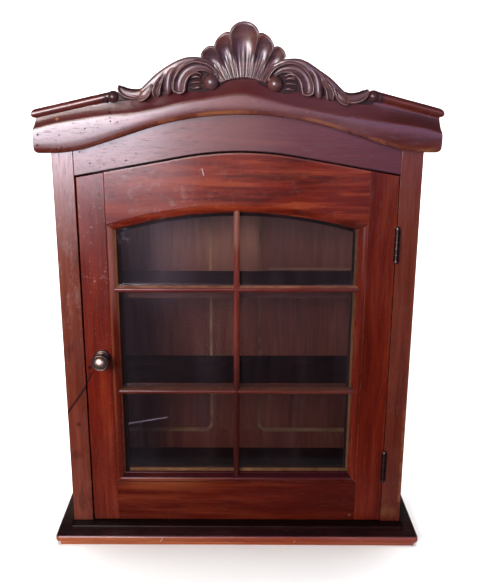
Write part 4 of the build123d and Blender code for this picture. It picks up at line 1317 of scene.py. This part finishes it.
finish_piece(
    carved_shell(), "shell", "case", "mahogany_carving", shell_wood, ["crest_shell"],
    edge_angle=70.0, weighted=False)

# %% [markdown]
# ## The door frame
# Stiles and rails meet square on their flat faces, while the thin moulding round the glass
# is mitred. So each member is a flat board plus its own length of moulding: a quirk, a
# quarter round and a small step down to the glass, with the rebate behind. The moulding
# follows the outline of the glass at growing distances, which makes the mitres by itself.

# %% Lines round the glass
SIGHT_HALF = 135.0
SIGHT_FOOT = 64.8
SIGHT_RADIUS = 476.0
SIGHT_CENTRE = 384.3 - SIGHT_RADIUS
MOULDING_WIDTH = 9.5
DOOR_LEFT, DOOR_RIGHT = -174.6, 175.7
DOOR_FOOT = FOOT_RISE + 1.5
GLASS_OUT = 10.0
REBATE = 6.0
MOULDING_BACK = 18.0


def head_height(x, margin):
    """Height of the curved head at so much outside the glass line."""
    return SIGHT_CENTRE + math.sqrt((SIGHT_RADIUS + margin) ** 2 - x * x)


def glass_edge(which, margin):
    """One side of the glass outline, grown by a margin."""
    reach, low = SIGHT_HALF + margin, SIGHT_FOOT - margin
    if which == "foot":
        return [(x, low) for x in steps_between(-reach, reach, 12)]
    if which == "head":
        return [(x, head_height(x, margin)) for x in steps_between(-reach, reach, 48)]
    side = -1 if which == "left" else 1
    return [(side * reach, z) for z in steps_between(low, head_height(reach, margin), 16)]


def moulding_section():
    """Margin and depth of the glass moulding, from the flat face to the rebate."""
    turns = steps_between(0, math.pi / 2, 9)
    quarter = [(1.6 + 7.1 * (1 - math.sin(a)), 0.9 + 3.9 * (1 - math.cos(a))) for a in turns]
    step = [(1.5, 5.6), (1.2, 7.2), (0.2, 7.6), (0.0, 8.2)]
    behind = [(0.0, GLASS_OUT), (REBATE, GLASS_OUT), (REBATE, MOULDING_BACK)]
    return [(MOULDING_WIDTH, MOULDING_BACK), (MOULDING_WIDTH, 0.1), (9.3, 0.8)] + quarter + step + behind


def add_moulding(scratch, which):
    """A length of moulding along one side of the glass, mitred at both ends."""
    section = moulding_section()
    lines = [glass_edge(which, margin) for margin, _ in section]
    rings = []
    for i in range(len(lines[0])):
        rings.append([
            (line[i][0], FACE + depth, LEVEL + line[i][1]) for line, (_, depth) in zip(lines, section)
        ])
    skin(scratch, rings)


# %% [markdown]
# ## Finishes for the door
# The door is redder than the case, and each member is marked in its own way: the head rail
# has long dark and orange streaks, the left stile has worn stripes and a painted mauve
# reflection beside its moulding and dark marks by the knob, and the moulding over the foot rail
# looks up, so it is darkened nearly black with dirt and painted shade, with painted orange
# light under it on the left. Only the right stile, which nobody touches, takes the plain recipe.

# %% Marks of the stiles and the foot rail
STILE_FLAT, STILE_ROUND = (-0.1447, -0.1440, -0.1418, -0.1412), (-0.1418, -0.1412, -0.1368, -0.1362)
STILE_MOULDING_REFLECTION = (-0.1440, -0.1425, -0.1375, -0.1362)


def left_stile_marks(tree, look):
    """Orange and dark stripes along the moulding, worn orange at its arris, a painted mauve reflection high
    on it, pale specks high up, and the start of the line beside the knob.
    """
    place, across, _, height = here(tree)
    stain(look, stretch(height, 0.20, 0.09), (0.050, 0.006, 0.004), 0.35)
    halfway = product(between(height, 0.10, 0.20, 0.27, 0.33), 0.28)
    stain(look, between(across, *STILE_FLAT), (0.42, 0.14, 0.055), halfway)
    stain(look, between(across, *STILE_ROUND), (0.070, 0.010, 0.006), stretch(height, 0.33, 0.27, 0.0, 0.50))
    # A painted mauve reflection on the moulding's upper part.
    stain(look, between(across, *STILE_MOULDING_REFLECTION), (0.34, 0.15, 0.14), stretch(height, 0.26, 0.34, 0.0, 0.60))
    stain(look, stretch(across, -0.1374, -0.1366), (0.55, 0.21, 0.075), stretch(height, 0.24, 0.34, 0.1, 0.8))
    upper = stretch(height, 0.25, 0.35, 0.04, 0.32)
    for scale, size, share in ((170.0, 0.0007, 0.25), (80.0, 0.0013, 0.22)):
        stain(look, pits(place, scale, size, share), PALE_RUB, upper, 0.4)
    stain(look, patches(place, 130.0, 0.60, 0.70, rough=0.7), PALE_RUB, product(upper, 0.8))
    stain(look, near_line(place, (-160.0, 207.0), (-168.0, 198.0), 1.2), BLACK_DIRT_AND_SHADE, 0.35, 0.3)
    stain(look, near_line(place, (-167.2, 199.4), (-175.6, 183.1), 1.5), BLACK_DIRT_AND_SHADE, 0.80, 0.6)
    stain(look, spot(place, (-170.9, 203.8), 3.2), BLACK_DIRT_AND_SHADE, 0.9, 0.6)


def foot_rail_marks(tree, look):
    """Purple-black dirt and painted shade on the moulding that looks up, painted orange light under it on the
    left, one pale chip.
    """
    place, across, _, height = here(tree)
    # Painted orange light low on the left, under the moulding.
    painted_orange_glow = product(stretch(height, 0.0555, 0.0675), between(across, -0.145, -0.115, -0.08, 0.00))
    stain(look, painted_orange_glow, (0.36, 0.090, 0.025), 0.40)
    stain(look, near_line(place, (136.5, 9.0), (140.5, 12.0), 0.8), PALE_RUB, 0.5, 0.4)
    # The up-facing moulding is darkened and dulled: dirt and painted shade.
    ledge = product(stretch(facing_up(tree), 0.20, 0.45), patches(place, 30.0, 0.25, 0.6, 0.85, 1.0))
    stain(look, ledge, (0.040, 0.007, 0.010), 0.97, 1.0)


# %% Marks of the head rail, and the four finishes
DOOR = (0.055, 0.0040, 0.0020), (0.175, 0.0150, 0.0060), (0.320, 0.0520, 0.0180)
DOOR_FOOT_RAIL = (0.036, 0.0024, 0.0012), (0.100, 0.0070, 0.0028), (0.210, 0.0290, 0.0090)


def head_rail_marks(tree, look):
    """Long dark and orange streaks, a rubbed top edge and a pale curl of a scratch."""
    place, across, _, _ = here(tree)
    drawn = points("MULTIPLY", place, (0.11, 1.0, 1.0))
    dull(look, between(across, -0.075, -0.025, 0.07, 0.12), 0.45)
    streak = noise(drawn, 105.0)
    dark, orange = (0.030, 0.0040, 0.0030), (0.420, 0.0750, 0.0220)
    stain(look, stretch(streak, 0.50, 0.64), dark, stretch(across, -0.06, 0.0, 0.45, 0.60))
    stain(look, stretch(streak, 0.46, 0.34), orange, stretch(across, -0.12, -0.02, 0.15, 0.55))
    dusty = patches(place, 90.0, 0.52, 0.66, detail=6.0, rough=0.75)
    stain(look, dusty, (0.40, 0.27, 0.27), stretch(across, 0.02, -0.10, 0.05, 0.30))
    top_edge = stretch(over_arch(place), -(DOOR_HEAD_GAP + 2.2) * MM, -(DOOR_HEAD_GAP + 0.9) * MM)
    stain(look, top_edge, PALE_RUB, stretch(across, 0.06, -0.06, 0.10, 0.55))
    curl = near_line(place, (-38.0, 434.5), (-35.6, 425.0), 0.8)
    stain(look, curl, (0.75, 0.60, 0.58), 0.7, 0.3)


door_upright = mahogany("door_mahogany_upright", "Z", DOOR, level=0.28, coat=0.15)
door_upright_left = mahogany("door_mahogany_left", "Z", DOOR, level=0.28, coat=0.15, marks=left_stile_marks)
door_foot = mahogany("door_mahogany_foot", "X", DOOR_FOOT_RAIL, level=0.2, coat=0.1, marks=foot_rail_marks)
door_level = mahogany("door_mahogany_level", "X", DOOR, level=0.25, coat=0.12, marks=head_rail_marks)

# %% Make the four members of the door
def door_top(x):
    """Height of the door's arched top edge."""
    return gable(x, DOOR_SLOPE, DOOR_CROWN_RADIUS, OPENING_CROWN - DOOR_HEAD_GAP)


joint = SIGHT_HALF + MOULDING_WIDTH
stile_left = [(DOOR_LEFT, DOOR_FOOT), (-joint, DOOR_FOOT)] + [(x, door_top(x)) for x in (-joint, DOOR_LEFT)]
hinge_edge = notched_edge(DOOR_RIGHT, DOOR_FOOT, door_top(DOOR_RIGHT), -LEAF_THICK)
stile_right = [(joint, DOOR_FOOT)] + hinge_edge + [(joint, door_top(joint))]
rail_top = SIGHT_FOOT - MOULDING_WIDTH
rail_foot = [(-joint, DOOR_FOOT), (joint, DOOR_FOOT), (joint, rail_top), (-joint, rail_top)]
rail_head = [(x, head_height(x, MOULDING_WIDTH)) for x in steps_between(-joint, joint, 48)]
rail_head += [(x, door_top(x)) for x in steps_between(joint, -joint, 48)]
for name, outline, which, finish, node, arris in (
    ("door_left_stile", stile_left, "left", door_upright_left, "door_stile_left", 0.6),
    ("door_right_stile", stile_right, "right", door_upright, "door_stile_right", 0.5),
    ("door_foot_rail", rail_foot, "foot", door_foot, "door_rail_bottom", 0.45),
    ("door_head_rail", rail_head, "head", door_level, "door_rail_top", 0.45),
):
    member = bmesh.new()
    add_board(member, over_level(outline), FACE, FRAME_BACK, arris)
    add_moulding(member, which)
    finish_piece(member, name, "door", "mahogany_door", finish, [node], edge_angle=30.0)

# %% [markdown]
# ## The glazing bars
# One upright bar and two level ones divide the glass in six. Their fronts are rounded, and
# they run on into the quarter round of the frame, so that their ends are scribed to it and
# come to a small point. Because the bars have the same section, they also mitre by
# themselves where they cross.

# %% Mix the woods of the bars
def upright_bar_marks(tree, look):
    """Darker on the lower half of the upright bar, and a painted highlight at its top."""
    height = here(tree)[3]
    stain(look, stretch(height, 0.29, 0.175), (0.022, 0.005, 0.006), 0.80, 0.8)
    # A painted highlight at the top of the bar.
    stain(look, stretch(height, 0.350, 0.375), (0.46, 0.24, 0.18), 0.35)


def level_bar_marks(tree, look):
    """Polish rubbed through on the upper side of the upper bar, and on the lower bar darker wood with painted
    shade on its upper side.
    """
    place, _, _, height = here(tree)
    rubbed = product(patches(place, 45.0, 0.35, 0.6, 0.3, 0.9), 0.7)
    stain(look, stretch(facing_up(tree), 0.55, 0.80), (0.40, 0.22, 0.13), rubbed, 0.5)
    lower = stretch(height, 0.28, 0.20)
    stain(look, lower, (0.060, 0.014, 0.006), 0.35, 0.3)
    # Painted shade, dark and dull, on the upper side of the lower bar.
    stain(look, product(lower, stretch(facing_up(tree), 0.45, 0.75)), (0.045, 0.018, 0.014), 0.75, 1.0)


bar_upright = mahogany(
    "bar_mahogany_upright", "Z", PLUM, haze=0.02, level=0.28, coat=0.1, marks=upright_bar_marks)
bar_level = mahogany(
    "bar_mahogany_level", "X", PLUM, haze=0.02, level=0.25, coat=0.05, marks=level_bar_marks)

# %% Run the bars
BAR_HALF = 3.5
BAR_OUT = 2.2
BAR_ROUND = 3.6
BAR_LEVELS = (172.3, 296.6)
BAR_REACH = 5.5
BAR_BEHIND = 0.05  # the level bars' faces lie this far behind the upright bar's


def bar_section():
    """Half width and depth round a bar, from its back on one side to its back on the other."""
    over = steps_between(-math.pi / 2, math.pi / 2, 12)
    front = [(BAR_HALF * math.sin(a), BAR_OUT + BAR_ROUND * (1 - math.cos(a))) for a in over]
    return [(-BAR_HALF, GLASS_OUT)] + front + [(BAR_HALF, GLASS_OUT)]


upright = bmesh.new()
up_the_glass = steps_between(SIGHT_FOOT - BAR_REACH, head_height(0, BAR_REACH), 40)
skin(upright, [[(aside, FACE + depth, LEVEL + z) for aside, depth in bar_section()] for z in up_the_glass])
levels = bmesh.new()
across_glass = steps_between(-SIGHT_HALF - BAR_REACH, SIGHT_HALF + BAR_REACH, 40)
for level in BAR_LEVELS:
    skin(levels, [
        [(x, FACE + depth + BAR_BEHIND, LEVEL + level + aside) for aside, depth in bar_section()]
        for x in across_glass
    ])
for bars, name, finish, node in (
    (upright, "bar_upright", bar_upright, "muntin_vertical"),
    (levels, "bars_level", bar_level, "muntin_cross_bars"),
):
    finish_piece(bars, name, "door", "mahogany_moulding", finish, [node], edge_angle=50.0, weighted=False)

# %% [markdown]
# ## The knob
# A turned bronze knob: a low rose against the wood, a waisted neck, a flared head with a
# rounded rim, and a raised dome inside a groove. A lathe shape needs only its half outline.
# Old bronze is brown-black where it is never touched and rubbed bright on the dome, which is brightened
# further as a painted highlight.

# %% Turn the knob
knob_low, knob_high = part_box("knob_head")
KNOB = (knob_low.x + knob_high.x) / 2 / MM, (knob_low.z + knob_high.z) / 2 / MM - LEVEL
print("knob at", [round(v, 2) for v in KNOB], "from the middle and the level line")
ROSE_PROFILE = [
    (0.0, 9.3), (1.1, 9.3), (1.8, 9.0), (2.3, 8.3), (2.5, 7.5), (2.4, 7.1), (2.6, 6.6), (3.0, 6.1),
]
HEAD_PROFILE = [
    (2.9, 5.3), (4.0, 4.6), (6.0, 4.1), (8.5, 4.0), (11.0, 4.6), (13.2, 6.1), (15.2, 8.2), (15.8, 9.2),
    (16.6, 9.8), (17.9, 10.0), (19.1, 9.8), (19.9, 9.3), (20.2, 8.7), (20.0, 8.2), (19.8, 7.9),
    (20.2, 7.6), (21.2, 7.1), (22.4, 5.8), (23.3, 4.0), (23.8, 2.1), (24.0, 0.0),
]


def metal(name, dark, bright, rubbed, gloss=(0.25, 0.5), edge_reach=0.0006, worn_and_highlit_front=None):
    """Aged metal: a dark skin, brighter clouds and rubbed edges, and on the knob a front worn by fingers and
    brightened as a painted highlight.
    """
    finish, tree = new_finish(name)
    place, _, deep, _ = here(tree)
    cloud = noise(place, 120.0, 5.0, 0.7)
    colour = mix(stretch(cloud, 0.35, 0.70), rgb(*dark), rgb(*bright))
    colour = mix(arris_wear(edge_reach, place), colour, rgb(*rubbed))
    if worn_and_highlit_front:
        # The knob's front: finger wear and a painted highlight.
        out = stretch(deep, (FACE - 20.0) * MM, (FACE - 21.0) * MM)
        colour = mix(product(out, stretch(cloud, 0.30, 0.60, 0.6, 1.0)), colour, rgb(*worn_and_highlit_front))
    bump = add(tree, "Bump", {"Strength": 0.3, "Distance": 0.0002, "Height": noise(place, 700.0, 3.0)})
    look = {
        "Base Color": colour, "Roughness": stretch(cloud, 0.2, 0.8, gloss[1], gloss[0]),
        "Normal": bump.outputs[0], "Metallic": 1.0,
    }
    cover(tree, add(tree, "BsdfPrincipled", look))
    return finish


bronze = metal(
    "aged_bronze", (0.050, 0.036, 0.038), (0.150, 0.105, 0.082), (0.400, 0.290, 0.210),
    worn_and_highlit_front=(0.58, 0.44, 0.34))
for name, profile, node in (
    ("knob_rose_ring", ROSE_PROFILE, "knob_rose"), ("knob_turned_head", HEAD_PROFILE, "knob_head"),
):
    turned = bmesh.new()
    add_turned(turned, flowing(profile, 3), (KNOB[0], FACE, LEVEL + KNOB[1]), (0, -1, 0), around=64)
    finish_piece(turned, name, "door", "aged_bronze", bronze, [node], edge_angle=45.0, weighted=False)

# %% [markdown]
# ## Glass
# Old window glass is clear but never clean. A thin film of dust catches the light in upright
# streaks, with a foggy corner and one long pale line on the left, while the pane itself mirrors
# a few parts in a hundred. An upright streak on the upper left pane and a film that thickens
# towards the upper left are painted reflection. Mixing a see-through shader with a mirror by
# Fresnel keeps the inside lit, which refracting glass wouldn't do without much longer renders.

# %% Mix the glass
def glass_finish():
    """Clear old glass with a faint streaky film of dust and painted reflection."""
    finish, tree = new_finish("old_window_glass")
    place, across, _, height = here(tree)
    tall = points("MULTIPLY", place, (1.0, 1.0, 0.12))
    streak = noise(tall, 38.0)
    # A painted reflection: a pale upright streak on the upper left pane.
    reflected_streak = product(
        between(across, -0.125, -0.085, -0.080, -0.040),
        stretch(height, 0.27, 0.33), stretch(streak, 0.30, 0.60, 0.5, 1.0),
    )
    fog = product(spot(place, (-127.5, 359.0), 15.0), patches(place, 240.0, 0.50, 0.66, detail=3.0))
    scratch = near_line(place, (-131.0, 127.2), (-82.1, 135.9), 0.8)
    # The film thickens towards the upper left, partly as a painted reflection.
    towards_left = stretch(across, 0.02, -0.13)
    film = maths("ADD", stretch(streak, 0.42, 0.72, 0.0, 0.010), stretch(height, 0.12, 0.42, 0.002, 0.018))
    for mask, strength in ((reflected_streak, 0.045), (fog, 0.13), (scratch, 0.26), (towards_left, 0.006)):
        film = maths("ADD", film, product(mask, strength))
    ripple = add(tree, "Bump", {"Strength": 0.02, "Distance": 0.002, "Height": noise(tall, 14.0, 1.0)})
    clear = add(tree, "BsdfTransparent", {"Color": rgb(0.95, 0.97, 0.96)})
    mirror = add(tree, "BsdfGlossy", {"Color": rgb(1, 1, 1), "Roughness": 0.06, "Normal": ripple.outputs[0]})
    glint = add(tree, "Fresnel", {"IOR": 1.5})
    pane = add(tree, "MixShader", {0: glint.outputs[0], 1: clear.outputs[0], 2: mirror.outputs[0]})
    dust = add(tree, "BsdfDiffuse", {"Color": rgb(0.56, 0.44, 0.60)})
    cover(tree, add(tree, "MixShader", {0: film, 1: pane.outputs[0], 2: dust.outputs[0]}))
    return finish


window_glass = glass_finish()

# %% [markdown]
# ## The inside of the case
# Behind the glass nobody polished much. The panelled back is dry brown wood, paler high up on
# the left where a pool of light is painted on it, and its slanting chamfers have worn to bare
# gold. The shelves are dark with dust and with painted shade on top. These boards are right as
# they were packed, so they keep their CAD mesh and only need a finish.

# %% Mix the woods of the inside
SHELF = (0.045, 0.012, 0.010), (0.090, 0.024, 0.019), (0.140, 0.050, 0.036)
INSIDE = (0.055, 0.012, 0.009), (0.140, 0.034, 0.025), (0.220, 0.070, 0.048)
OILED = {"haze": 0.01, "gloss": (0.45, 0.60), "level": 0.08, "coat": 0.0}


def lit_high_up(tree, look, share=0.80):
    """Paler, warmer wood high on the left of the back: a painted pool of light."""
    place, across, _, height = here(tree)
    drawn = points("MULTIPLY", place, (1.0, 1.0, 0.08))
    grain = patches(drawn, 170.0, 0.35, 0.65, 0.60, 1.0, detail=5.0, rough=0.7)
    high = product(stretch(across, -0.165, -0.115), stretch(height, 0.28, 0.36), grain)
    # A painted pool of light on the back, high on the left.
    stain(look, high, (0.50, 0.215, 0.155), share)


def gold_chamfers(tree, look):
    """Bare golden wood on the slanting chamfers round the back panels."""
    lit_high_up(tree, look, 0.68)
    slant = between(maths("ABSOLUTE", looks_towards(tree)[1]), 0.35, 0.55, 0.85, 0.95)
    stain(look, slant, (0.52, 0.34, 0.18), patches(here(tree)[0], 35.0, 0.3, 0.6, 0.10, 0.50))
    stain(look, product(slant, stretch(facing_up(tree), 0.30, 0.60)), (0.080, 0.035, 0.022), 0.45)


def shelf_line_mark(tree, look):
    """A pale line on the right-hand panel just over the upper shelf."""
    lit_high_up(tree, look, 0.18)
    line = near_line(here(tree)[0], (40.0, 291.2), (162.0, 291.2), 1.9)
    stain(look, line, (0.34, 0.22, 0.16), 0.4)


inside_level = mahogany("inside_wood_level", "X", SHELF, marks=dirt_and_shade_on_top, **OILED)
back_frame = mahogany("inside_wood_frame", "Z", INSIDE, marks=gold_chamfers, **OILED)
back_panel_left = mahogany("inside_wood_panel_left", "Z", INSIDE, marks=lit_high_up, **OILED)
back_panel_right = mahogany("inside_wood_panel", "Z", INSIDE, marks=shelf_line_mark, **OILED)
case_upright = mahogany("case_mahogany_upright", "Z", POST, haze=0.02)
case_level = mahogany("case_mahogany_level", "X", PLUM, haze=0.03, level=0.34)

# %% [markdown]
# ## Beads, hinges, screws and the catch
# The glass is held by thin beads: two are given near-black colours as painted shade and two
# are pale wood, painted dark with shade all over but for a narrow strip. The hinges are dark
# brass with brighter pins, the screws are steel and the catch is plastic that has yellowed.
# All of them are small, so the recipes for wood and metal are used again with other numbers.

# %% Small finishes
PALE_BEAD = (0.160, 0.060, 0.020), (0.330, 0.140, 0.055), (0.450, 0.230, 0.100)
# The left and top beads take these near-black colours as painted shade.
PAINTED_SHADE_BEAD = (0.006, 0.002, 0.002), (0.014, 0.005, 0.004), (0.025, 0.010, 0.007)


def bead_shade_marks(tree, look):
    """Painted shade, dark and dull, on all but a narrow strip beside the moulding."""
    _, across, _, height = here(tree)
    beside = maths("MAXIMUM", stretch(across, 0.1322, 0.1332), stretch(height, 0.0841, 0.0833))
    # Painted shade everywhere but the strip beside the moulding.
    in_painted_shade = maths("SUBTRACT", 1.0, product(beside, stretch(facing_up(tree), 0.7, 0.4)))
    stain(look, in_painted_shade, (0.018, 0.007, 0.008), 0.92, 0.9)


bead_wood = mahogany(
    "pale_bead_wood", "Z", PALE_BEAD, gloss=(0.45, 0.65), level=0.2, coat=0.0, wear=0.2, marks=bead_shade_marks)
painted_shade_bead = mahogany(
    "painted_shade_bead_wood", "Z", PAINTED_SHADE_BEAD, gloss=(0.75, 0.90), level=0.0, coat=0.0, wear=0.0)
brass = metal(
    "dark_brass", (0.035, 0.023, 0.024), (0.100, 0.062, 0.056), (0.620, 0.460, 0.350), (0.30, 0.5), 0.0004)
pin_brass = metal(
    "pin_brass", (0.110, 0.075, 0.065), (0.300, 0.210, 0.170), (0.700, 0.540, 0.420), (0.28, 0.45))
steel = metal(
    "screw_steel", (0.180, 0.175, 0.170), (0.360, 0.350, 0.340), (0.560, 0.550, 0.540), (0.25, 0.45), 0.0003)
plastic, plastic_tree = new_finish("catch_plastic")
yellowed = noise(here(plastic_tree)[0], 90.0)
cover(plastic_tree, add(plastic_tree, "BsdfPrincipled", {
    "Base Color": ramp(yellowed, ((0.3, (0.62, 0.58, 0.48)), (0.7, (0.80, 0.78, 0.70)))),
    "Roughness": stretch(yellowed, 0.2, 0.8, 0.35, 0.55),
}))

# %% [markdown]
# ## Finishes on the CAD boards
# A node that keeps its CAD mesh takes its finish on the material slots of that mesh. A table
# from finish to nodes is easier to read back than a line for each of them.

# %% Put them on
KEPT_NODES = {
    case_upright: ("side_left", "side_right"),
    case_level: ("top_board",),
    base_wood: ("base_underlay",),
    inside_level: ("floor_board", "shelf_lower", "shelf_upper"),
    back_panel_left: ("back_panel_left",),
    back_panel_right: ("back_panel_right",),
    back_frame: (
        "back_stile_left", "back_stile_right", "back_stile_centre", "back_rail_top", "back_rail_bottom",
    ),
    bead_wood: ("glazing_bead_right", "glazing_bead_bottom"),
    painted_shade_bead: ("glazing_bead_left", "glazing_bead_top"),
    window_glass: ("glass_pane",),
    brass: ("hinge_leaves_case", "hinge_leaves_door"),
    pin_brass: ("hinge_pins",),
    steel: (
        "hinge_screws_case", "hinge_screws_door", "knob_screw", "catch_screws", "strike_plate",
        "hanger_plates", "hanger_screws",
    ),
    plastic: ("magnetic_catch",),
}
for finish, nodes in KEPT_NODES.items():
    for node in nodes:
        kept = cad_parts[node]
        for slot in kept.material_slots:
            slot.material = finish
        if not kept.material_slots:
            kept.data.materials.append(finish)
    print(finish.name, "on", len(nodes), "nodes")

# %% [markdown]
# ## The size
# The box round every shown piece, the stage left out, is printed in metres. Nothing new may
# reach outside the imported model.

# %% Print the size of the dressed model
low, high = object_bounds()
print("dressed box in metres:", [round(v, 4) for v in (*low, *high)])
